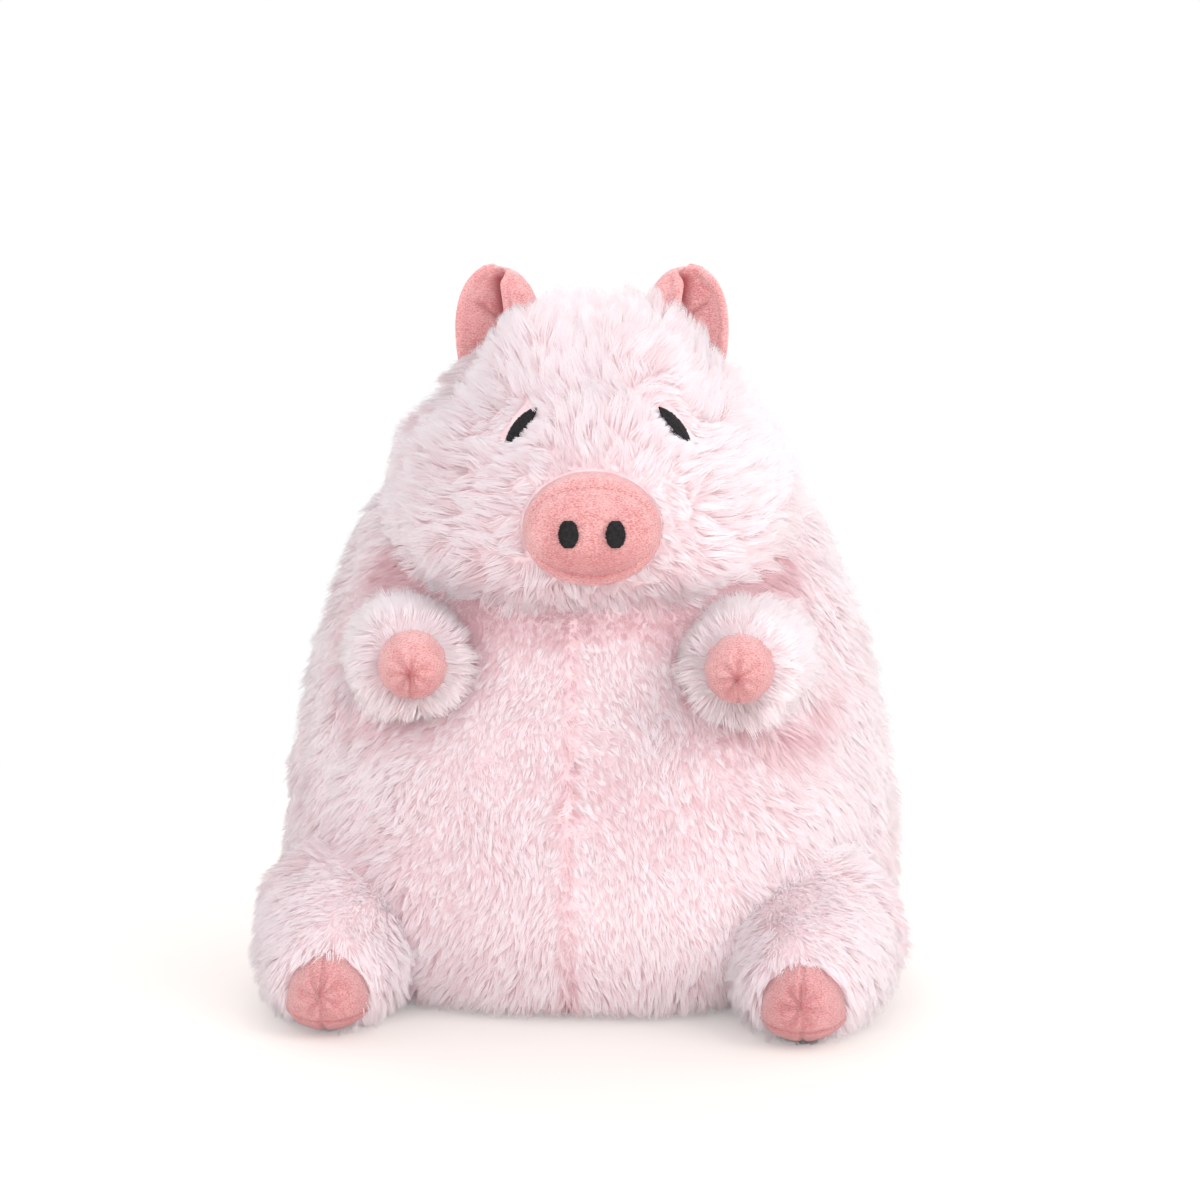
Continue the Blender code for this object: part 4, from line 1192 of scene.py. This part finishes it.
def oval_row(hits, centre, over, height, half, rng):
    """A row of places as wide as an upright oval is at a height, with the depth that was hit."""
    share = height / (half.z * OVAL_ROOM_SHARE)
    width = half.x * math.sqrt(max(0, 1 - share**2)) * rng.uniform(0.93, 1.03)
    depth = hits[len(hits) // 2]
    depth = depth - over * ((depth - centre) @ over)
    return np.array([depth + over * v for v in np.linspace(-width, width, 9)])


def satin_patch(node, slant, material, oval=False):
    """Satin stitches laid side by side over the raised patch of a node, across its length."""
    name = node + "_satin"
    tree = tree_of([node])
    low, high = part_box(node)
    centre = middle(node)
    back = -HEAD_AHEAD
    along = HEAD_ACROSS * math.cos(slant) + UP * math.sin(slant)
    over = np.cross(back, along)
    if over[2] < 0:
        over = -over
    reach = float((high - low).length)
    rng = np.random.default_rng(len(name))
    paths = []
    for u in np.arange(-reach, reach, THREAD_SPACING):
        hits = []
        for v in np.arange(-reach, reach, THREAD_SPACING / 2):
            start = centre + along * u + over * v - back * RAY_START
            place, _, _, _ = tree.ray_cast(Vector(start), Vector(back), RAY_LENGTH)
            if place is not None:
                hits.append(np.array(place))
        if len(hits) < 3:
            continue
        if oval:
            hits = oval_row(np.array(hits), centre, over, u, (high - low) / 2, rng)
        hits = np.array(hits)
        ends = hits[[0, -1]]
        mid = np.array([hits[int(round(t * (len(hits) - 1)))] for t in (0, 0.25, 0.5, 0.75, 1)])
        mid -= back * THREAD_RADIUS * 0.9
        drawn = ends + back * THREAD_RADIUS * 1.6
        lean = (ends[1] - ends[0]) * rng.uniform(0.0, 0.07, 2)[:, None] * np.array([[-1], [1]])
        paths.append(np.concatenate([drawn[:1] + lean[:1], mid, drawn[1:] + lean[1:]]))
    obj = link(name, thread_mesh(name, paths, THREAD_RADIUS), material)
    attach(obj, "torso")
    return obj


def patch_pad(node, material):
    """The padded ground under satin stitches."""
    work = work_of(*mesh_of_nodes([node]))
    obj = remeshed(node + "_pad", work, PATCH_VOXEL, 2, material)
    set_points(obj, points_of(obj) - normals_of(obj) * PATCH_INSET)
    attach(obj, "torso")
    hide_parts(node)
    return obj


def build_embroidery(black):
    for name, side in (("eye_left", -1), ("eye_right", 1)):
        patch_pad(name, black)
        satin_patch(name, -side * EYE_SLANT, black)
    for name in ("nostril_left", "nostril_right"):
        pad = patch_pad(name, black)
        satin = satin_patch(name, math.pi / 2, black, oval=True)
        for obj in (pad, satin):
            co = points_of(obj)
            if obj == pad:
                centre = middle(name)
                co = centre + (co - centre) * NOSTRIL_PAD_SHARE
            set_points(obj, co + HEAD_AHEAD * (dome_at(co) + NOSTRIL_RISE)[:, None])


def seam_share(points):
    """Distance from the snout's axis as a share of the oval seam between its band and its face."""
    half_width = SNOUT_HALF_WIDTH * SNOUT_SEAM_ACROSS_SHARE
    return oval_share(points, half_width, SNOUT_HALF_HEIGHT * SNOUT_SEAM_UP_SHARE)


def dome_at(points):
    """How far the stuffed snout stands out ahead of its solid at each point."""
    return SNOUT_DOME * np.clip(1 - seam_share(points) ** 2, 0, 1)


def angle_round_snout(points):
    across, above = seen_from_snout(points)
    return np.arctan2(above, across)


def build_snout(minky, thread):
    nodes = ["snout_band", "snout_face", "snout_stuffing"]
    obj = remeshed("snout", work_of(*mesh_of_nodes(nodes)), SNOUT_VOXEL, 6, minky)
    subdivided(obj)
    co = points_of(obj)
    normals = normals_of(obj)
    share = snout_share(co)
    depth = co @ HEAD_AHEAD
    front = ramp_up(depth, depth.max() - SNOUT_FRONT, depth.max() - SNOUT_FRONT_FULL)
    gap = (seam_share(co) - 1) * SNOUT_HALF_HEIGHT * SNOUT_SEAM_UP_SHARE
    groove = bell(gap, GROOVE_WIDTH) * front
    cushion = bell(gap - CUSHION_PLACE, CUSHION_WIDTH) * front
    lift = CUSHION_RISE * cushion - GROOVE_DEPTH * groove
    set_points(obj, co + normals * lift[:, None] + HEAD_AHEAD[None, :] * (dome_at(co) * front)[:, None])
    # Painted shade in the seam's groove at top and bottom, and over the lower part of the face, where the
    # dome turns from the light.
    angle = angle_round_snout(co)
    low = ramp_up(-np.sin(angle), 0.0, 0.9) * ramp_up(share, 0.15, 0.6) * (1 - ramp_up(share, 0.80, 0.98))
    set_painted_shade(obj, 0.10 * groove * np.sin(angle) ** 2 + 0.45 * low)
    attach(obj, "torso")
    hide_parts(*nodes)

    tree = BVHTree.FromObject(obj, bpy.context.evaluated_depsgraph_get())
    centre = middle("snout_face")
    paths = []
    for k in range(SNOUT_STITCHES):
        stitch = []
        for t in (-0.34, -0.17, 0.0, 0.17, 0.34):
            angle = 2 * math.pi * (k + t) / SNOUT_STITCHES
            x = math.cos(angle) * SNOUT_HALF_WIDTH * SNOUT_SEAM_ACROSS_SHARE
            z = math.sin(angle) * SNOUT_HALF_HEIGHT * SNOUT_SEAM_UP_SHARE
            start = centre + HEAD_ACROSS * x + UP * z + HEAD_AHEAD * RAY_START
            place, _, _, _ = tree.ray_cast(Vector(start), Vector(-HEAD_AHEAD), RAY_LENGTH)
            if place is None or abs(math.sin(angle)) < 0.45:
                break
            sink = STITCH_SINK if abs(t) > 0.3 else STITCH_SKIM
            stitch.append(np.array(place) - HEAD_AHEAD * sink)
        if len(stitch) == 5:
            paths.append(stitch)
    stitches = link("snout_stitches", thread_mesh("snout_stitches", paths, SNOUT_THREAD_RADIUS), thread)
    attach(stitches, "torso")


def build_hoof(name, minky):
    node = name + "_hoof"
    obj = remeshed(name + "_hoof_cover", work_of(*mesh_of_nodes([node])), HOOF_VOXEL, 5, minky)
    subdivided(obj)
    pivot, axis = limb_axis(name)
    across = unit(np.cross(axis, UP))
    up = np.cross(across, axis)
    co = points_of(obj)
    away = co - pivot
    along = away @ axis
    s = away @ across
    t = away @ up
    is_leg = name.startswith("leg")
    reach = np.abs(t).max()
    if is_leg:
        # The foot is narrow above and broad below.
        narrower = HOOF_NARROWING_SHARE * np.clip(t / reach, 0, 1) ** 1.3
        co = co - across * (s * narrower)[:, None]
        s = s * (1 - narrower)
        broader = HOOF_BROADENING_SHARE * ramp_up(-t / reach, 0.0, 0.7)
        co = co + across * (s * broader)[:, None]
    tip = along.max()
    near = ramp_up(along, tip - HOOF_TIP, tip - HOOF_TIP_FULL)
    apex = reach * (0.22 if is_leg else -0.10)
    round_tip = np.hypot(s, t - apex)
    angle = np.arctan2(t - apex, s)
    dimple = bell(round_tip, DIMPLE_WIDTH)
    ripples = (1 + np.sin(7 * angle + len(name))) * bell(round_tip - RIPPLE_PLACE, RIPPLE_WIDTH)
    seam = bell(s, HOOF_SEAM_WIDTH) * ((t < apex) | is_leg)
    sole = bell(t + reach * 0.45, HOOF_SEAM_WIDTH) * is_leg
    depth = (DIMPLE_DEPTH * dimple + RIPPLE_DEPTH * ripples) * near + HOOF_SEAM_DEPTH * (seam + sole)
    set_points(obj, co - normals_of(obj) * depth[:, None])
    # Painted shade in the gathered dimple, its ripples and the seams, and over the lower part of the hoof;
    # the leg hooves are a little deeper all over.
    low = ramp_up(-t, -0.1 * reach, reach)
    pinch = 0.40 if is_leg else 0.75
    ground = 0.40 * low + 0.16 * is_leg
    set_painted_shade(obj, (pinch * dimple + 0.16 * ripples) * near + 0.40 * pinch * seam + 0.22 * sole + ground)
    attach(obj, name)
    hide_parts(node)


def build_tail(minky):
    obj = remeshed("tail_skin", work_of(*mesh_of_nodes(["tail_cover"])), TAIL_VOXEL, 4, minky)
    subdivided(obj)
    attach(obj, "tail")
    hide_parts("tail_cover")


# Ears.


def ear_width_share(rise):
    return max(max(0, 1 - rise**EAR_TAPER) ** 0.5, EAR_LEAST_WIDTH_SHARE)


def ear_edge_x(rise):
    """Where the flap's free edge stands. It runs up straight and bends to the fold under the top."""
    width = ear_width_share(rise)
    bend = float(ramp_up(np.array(rise), EAR_FLAP_TOP_SHARE - 0.10, EAR_FLAP_TOP_SHARE + 0.04))
    return EAR_EDGE_X * (1 - bend) + (EAR_HALF_WIDTH - EAR_FOLD_RADIUS) * width * bend


def ear_section(along, flap):
    """A place in plan and the normal there, from the ear's outer edge to its flap's free edge."""
    fold_x = EAR_HALF_WIDTH - EAR_FOLD_RADIUS
    run = EAR_HALF_WIDTH + fold_x
    bend = math.pi * EAR_FOLD_RADIUS
    at = (run + bend + flap) * along
    if at <= run:
        x = -EAR_HALF_WIDTH + at
        slope = -2 * EAR_CUP_DEPTH * x / EAR_HALF_WIDTH**2
        rest = EAR_CUP_DEPTH * (1 - (fold_x / EAR_HALF_WIDTH) ** 2)
        y = EAR_CUP_DEPTH * (1 - (x / EAR_HALF_WIDTH) ** 2) - rest
        return Vector((x, y, 0)), Vector((-slope, 1, 0)).normalized()
    if at <= run + bend:
        angle = (at - run) / EAR_FOLD_RADIUS
        normal = Vector((math.sin(angle), math.cos(angle), 0))
        return Vector((fold_x, -EAR_FOLD_RADIUS, 0)) + normal * EAR_FOLD_RADIUS, normal
    return Vector((fold_x - (at - run - bend), -2 * EAR_FOLD_RADIUS, 0)), Vector((0, -1, 0))


def ear_place(side, x, y, rise):
    height = -EAR_ROOT_DEPTH + (EAR_RISE + EAR_ROOT_DEPTH) * rise
    return Vector((-side * (x + EAR_TOP_SHIFT * rise), y, height))


def ear_point(side, along, rise, offset):
    width = ear_width_share(rise)
    edge_x = ear_edge_x(rise)
    flap = max(EAR_HALF_WIDTH - EAR_FOLD_RADIUS - edge_x / width, EAR_LEAST_FLAP)
    point, normal = ear_section(along, flap)
    place = point * width + normal * offset
    return ear_place(side, place.x, place.y, rise)


def ear_folds(obj, matrix, side):
    """Presses a slanting crease into the cup, and paints shade into that crease, into the pocket beside the
    flap's free edge and between the flap's ridges.
    """
    inverse = np.array(matrix.inverted())
    co = points_of(obj)
    local = co @ inverse[:3, :3].T + inverse[:3, 3]
    rise = (local[:, 2] + EAR_ROOT_DEPTH) / (EAR_RISE + EAR_ROOT_DEPTH)
    x = -side * local[:, 0] - EAR_TOP_SHIFT * rise
    width = np.maximum(1 - np.clip(rise, 0, 1) ** EAR_TAPER, EAR_LEAST_WIDTH_SHARE**2) ** 0.5
    behind = ramp_up(local[:, 1], -1.4 * EAR_FOLD_RADIUS * width, -0.9 * EAR_FOLD_RADIUS * width)
    in_cup = behind * ramp_up(-normals_of(obj)[:, 1], 0.0, 0.3)
    crease_x = (0.66 - rise) * EAR_CREASE_RUN - EAR_CREASE_X
    crease = bell(x - crease_x, EAR_CREASE_WIDTH) * in_cup
    crease *= ramp_up(rise, 0.30, 0.40) * (1 - ramp_up(rise, 0.60, 0.72))
    pocket = bell(x - EAR_EDGE_X + EAR_POCKET_STEP, EAR_POCKET_WIDTH) * in_cup
    pocket *= ramp_up(rise, 0.25, 0.5) * (1 - ramp_up(rise, 0.86, 0.97))
    set_points(obj, co - normals_of(obj) * (EAR_CREASE_DEPTH * crease)[:, None])
    edge = np.array([ear_edge_x(float(r)) for r in np.clip(rise, 0, 1)])
    between = bell(x - edge - EAR_RIDGE_STEP / 2, EAR_RIDGE_SHADE) * (1 - behind)
    between *= 1 - ramp_up(rise, 0.55, 0.80)
    # Painted shade in the crease, the pocket and between the ridges.
    set_painted_shade(obj, 0.40 * crease + pocket + 0.45 * between)


def build_ear(name, side, minky):
    matrix = Matrix.Translation(Vector(joint_place(name + "_flop"))) @ Matrix.Rotation(HEAD_TURN, 4, "Z")
    matrix = matrix @ Matrix.Rotation(side * EAR_BASE_SLOPE, 4, "Y")
    work = bmesh.new()
    layers = []
    for offset in (EAR_HALF_THICKNESS, -EAR_HALF_THICKNESS):
        grid = []
        for i in range(EAR_ROWS + 1):
            rise = math.sin(math.pi / 2 * i / EAR_ROWS)
            line = []
            for j in range(EAR_COLUMNS + 1):
                line.append(work.verts.new(matrix @ ear_point(side, j / EAR_COLUMNS, rise, offset)))
            grid.append(line)
        layers.append(grid)
    front, rear = layers
    for i in range(EAR_ROWS):
        for j in range(EAR_COLUMNS):
            work.faces.new((front[i][j], front[i][j + 1], front[i + 1][j + 1], front[i + 1][j]))
            work.faces.new((rear[i][j], rear[i + 1][j], rear[i + 1][j + 1], rear[i][j + 1]))
        for j in (0, EAR_COLUMNS):
            work.faces.new((front[i][j], front[i + 1][j], rear[i + 1][j], rear[i][j]))
    for i in (0, EAR_ROWS):
        for j in range(EAR_COLUMNS):
            work.faces.new((front[i][j], front[i][j + 1], rear[i][j + 1], rear[i][j]))

    # Two rolled ridges run down the flap's free edge, and a soft roll round the outer edge and the top.
    balls = []
    for i in range(EAR_RIDGE_BALLS):
        rise = EAR_FLAP_TOP_SHARE * i / (EAR_RIDGE_BALLS - 1)
        width = ear_width_share(rise)
        y = -2 * EAR_FOLD_RADIUS * width
        for step in (0, 1):
            x = ear_edge_x(rise) + EAR_RIDGE_STEP * step * (1 - rise / EAR_FLAP_TOP_SHARE) ** 0.5
            balls.append((ear_place(side, x, y - EAR_RIDGE_OUT, rise), EAR_RIDGE_RADIUS))
    for i in range(EAR_ROLL_BALLS):
        rise = math.sin(math.pi / 2 * i / (EAR_ROLL_BALLS - 1))
        balls.append((ear_point(side, 0, rise, 0), EAR_ROLL_RADIUS))
    for i in range(EAR_TOP_BALLS):
        balls.append((ear_point(side, 0.5 * i / (EAR_TOP_BALLS - 1), 1, 0), EAR_ROLL_RADIUS))
    add_balls(work, [(matrix @ centre, radius) for centre, radius in balls], 2)
    bmesh.ops.recalc_face_normals(work, faces=work.faces)
    obj = remeshed(name + "_cover", work, EAR_VOXEL, 4, minky)
    ear_folds(obj, matrix, side)
    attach(obj, name)
    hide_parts(name + "_back", name + "_lining")


# Stage.


def area_lamp(name, place, size, power, colour):
    data = bpy.data.lights.new(name, "AREA")
    data.shape = "DISK"
    data.size = size
    data.energy = power
    data.color = colour
    lamp = bpy.data.objects.new(name, data)
    bpy.context.scene.collection.objects.link(lamp)
    lamp.location = place
    lamp.rotation_euler = (Vector(LAMP_TARGET) - Vector(place)).to_track_quat("-Z", "Y").to_euler()


def white_for_sight(nodes, links):
    """A factor that is 1 for rays from the camera and through gloss or glass."""
    path = add_node(nodes, "LightPath")
    first = add_node(nodes, "Math")
    first.operation = "MAXIMUM"
    second = add_node(nodes, "Math")
    second.operation = "MAXIMUM"
    join(
        links,
        (path, "Is Camera Ray", first, 0),
        (path, "Is Glossy Ray", first, 1),
        (first, 0, second, 0),
        (path, "Is Transmission Ray", second, 1),
    )
    return second


def build_world():
    world = bpy.data.worlds.new("studio")
    bpy.context.scene.world = world
    world.use_nodes = True
    nodes = world.node_tree.nodes
    links = world.node_tree.links
    background = nodes["Background"]
    set_sockets(background, Color=WORLD_COLOUR)
    heading = add_node(nodes, "TexCoord")
    split = add_node(nodes, "SeparateXYZ")
    strength = add_node(nodes, "MapRange", From_Min=-1, To_Min=WORLD_BELOW, To_Max=WORLD_ABOVE)
    white = add_node(nodes, "Background", Color=(1, 1, 1, 1), Strength=1)
    mix = add_node(nodes, "MixShader")
    join(
        links,
        (heading, "Generated", split, 0),
        (split, "Z", strength, "Value"),
        (strength, 0, background, "Strength"),
        (white_for_sight(nodes, links), 0, mix, "Fac"),
        (background, 0, mix, 1),
        (white, 0, mix, 2),
        (mix, 0, nodes["World Output"], "Surface"),
    )


def build_floor():
    """A pale floor that turns to plain white away from the pig."""
    work = bmesh.new()
    bmesh.ops.create_circle(work, cap_ends=True, radius=FLOOR_RADIUS, segments=96)
    mesh = bpy.data.meshes.new("floor")
    work.to_mesh(mesh)
    work.free()
    material, nodes, links, shader = new_material("floor_paper", 0.9, 0.1)
    set_sockets(shader, Base_Color=FLOOR_COLOUR)
    white = add_node(nodes, "Emission", Strength=1)
    coordinates = add_node(nodes, "TexCoord")
    length = add_node(nodes, "VectorMath")
    length.operation = "LENGTH"
    near, far = FLOOR_FADE_RANGE
    fade = add_node(nodes, "MapRange")
    fade.interpolation_type = "SMOOTHSTEP"
    set_sockets(fade, From_Min=near, From_Max=far, To_Min=FLOOR_WHITE_SHARE, To_Max=1)
    seen = add_node(nodes, "Math")
    seen.operation = "MULTIPLY"
    mix = add_node(nodes, "MixShader")
    join(
        links,
        (coordinates, "Object", length, 0),
        (length, "Value", fade, "Value"),
        (fade, 0, seen, 0),
        (white_for_sight(nodes, links), 0, seen, 1),
        (seen, 0, mix, "Fac"),
        (shader, 0, mix, 1),
        (white, 0, mix, 2),
        (mix, 0, nodes["Material Output"], "Surface"),
    )
    link("floor", mesh, material)


def build_camera():
    data = bpy.data.cameras.new("camera")
    data.sensor_width = SENSOR_WIDTH * MILLIMETRES
    data.lens = SENSOR_WIDTH * CAMERA_DISTANCE / CAMERA_FRAME_WIDTH * MILLIMETRES
    data.shift_x = CAMERA_SHIFT
    camera = bpy.data.objects.new("camera", data)
    bpy.context.scene.collection.objects.link(camera)
    level = CAMERA_DISTANCE * math.cos(CAMERA_ELEVATION)
    camera.location = (
        level * math.sin(CAMERA_TURN),
        -level * math.cos(CAMERA_TURN),
        CAMERA_TARGET_HEIGHT + CAMERA_DISTANCE * math.sin(CAMERA_ELEVATION),
    )
    target = Vector((0, 0, CAMERA_TARGET_HEIGHT))
    camera.rotation_euler = (target - camera.location).to_track_quat("-Z", "Y").to_euler()
    bpy.context.scene.camera = camera


def main():
    bpy.context.scene.view_settings.view_transform = "Standard"
    build_camera()
    build_world()
    build_floor()
    for lamp in LAMPS:
        area_lamp(*lamp)
    backing = backing_material("plush_backing")
    fur = pile_material("plush_pile")
    minky = minky_material("minky", *MINKY_COLOURS)
    black = thread_material("black_thread", *BLACK_COLOURS)
    pink = thread_material("pink_thread", *PINK_COLOURS)
    torso = build_torso_skin(backing)
    skins = [build_limb_skin(name, backing) for name in LIMBS]
    head_at = head_share(points_of(torso))
    head_pile(torso, head_at, fur)
    body_pile(torso, head_at, fur, skins)
    for i, (name, skin) in enumerate(zip(LIMBS, skins)):
        limb_pile(name, skin, 100 + 10 * i, fur, torso)
        build_hoof(name, minky)
    build_snout(minky, pink)
    build_embroidery(black)
    # Painted light: a paler copy of the minky for the ears, whose cups get less lamplight.
    ear_minky_painted_light = minky_material("ear_minky_painted_light", *EAR_PAINTED_LIGHT_COLOURS)
    build_ear("ear_left", -1, ear_minky_painted_light)
    build_ear("ear_right", 1, ear_minky_painted_light)
    build_tail(minky)


main()
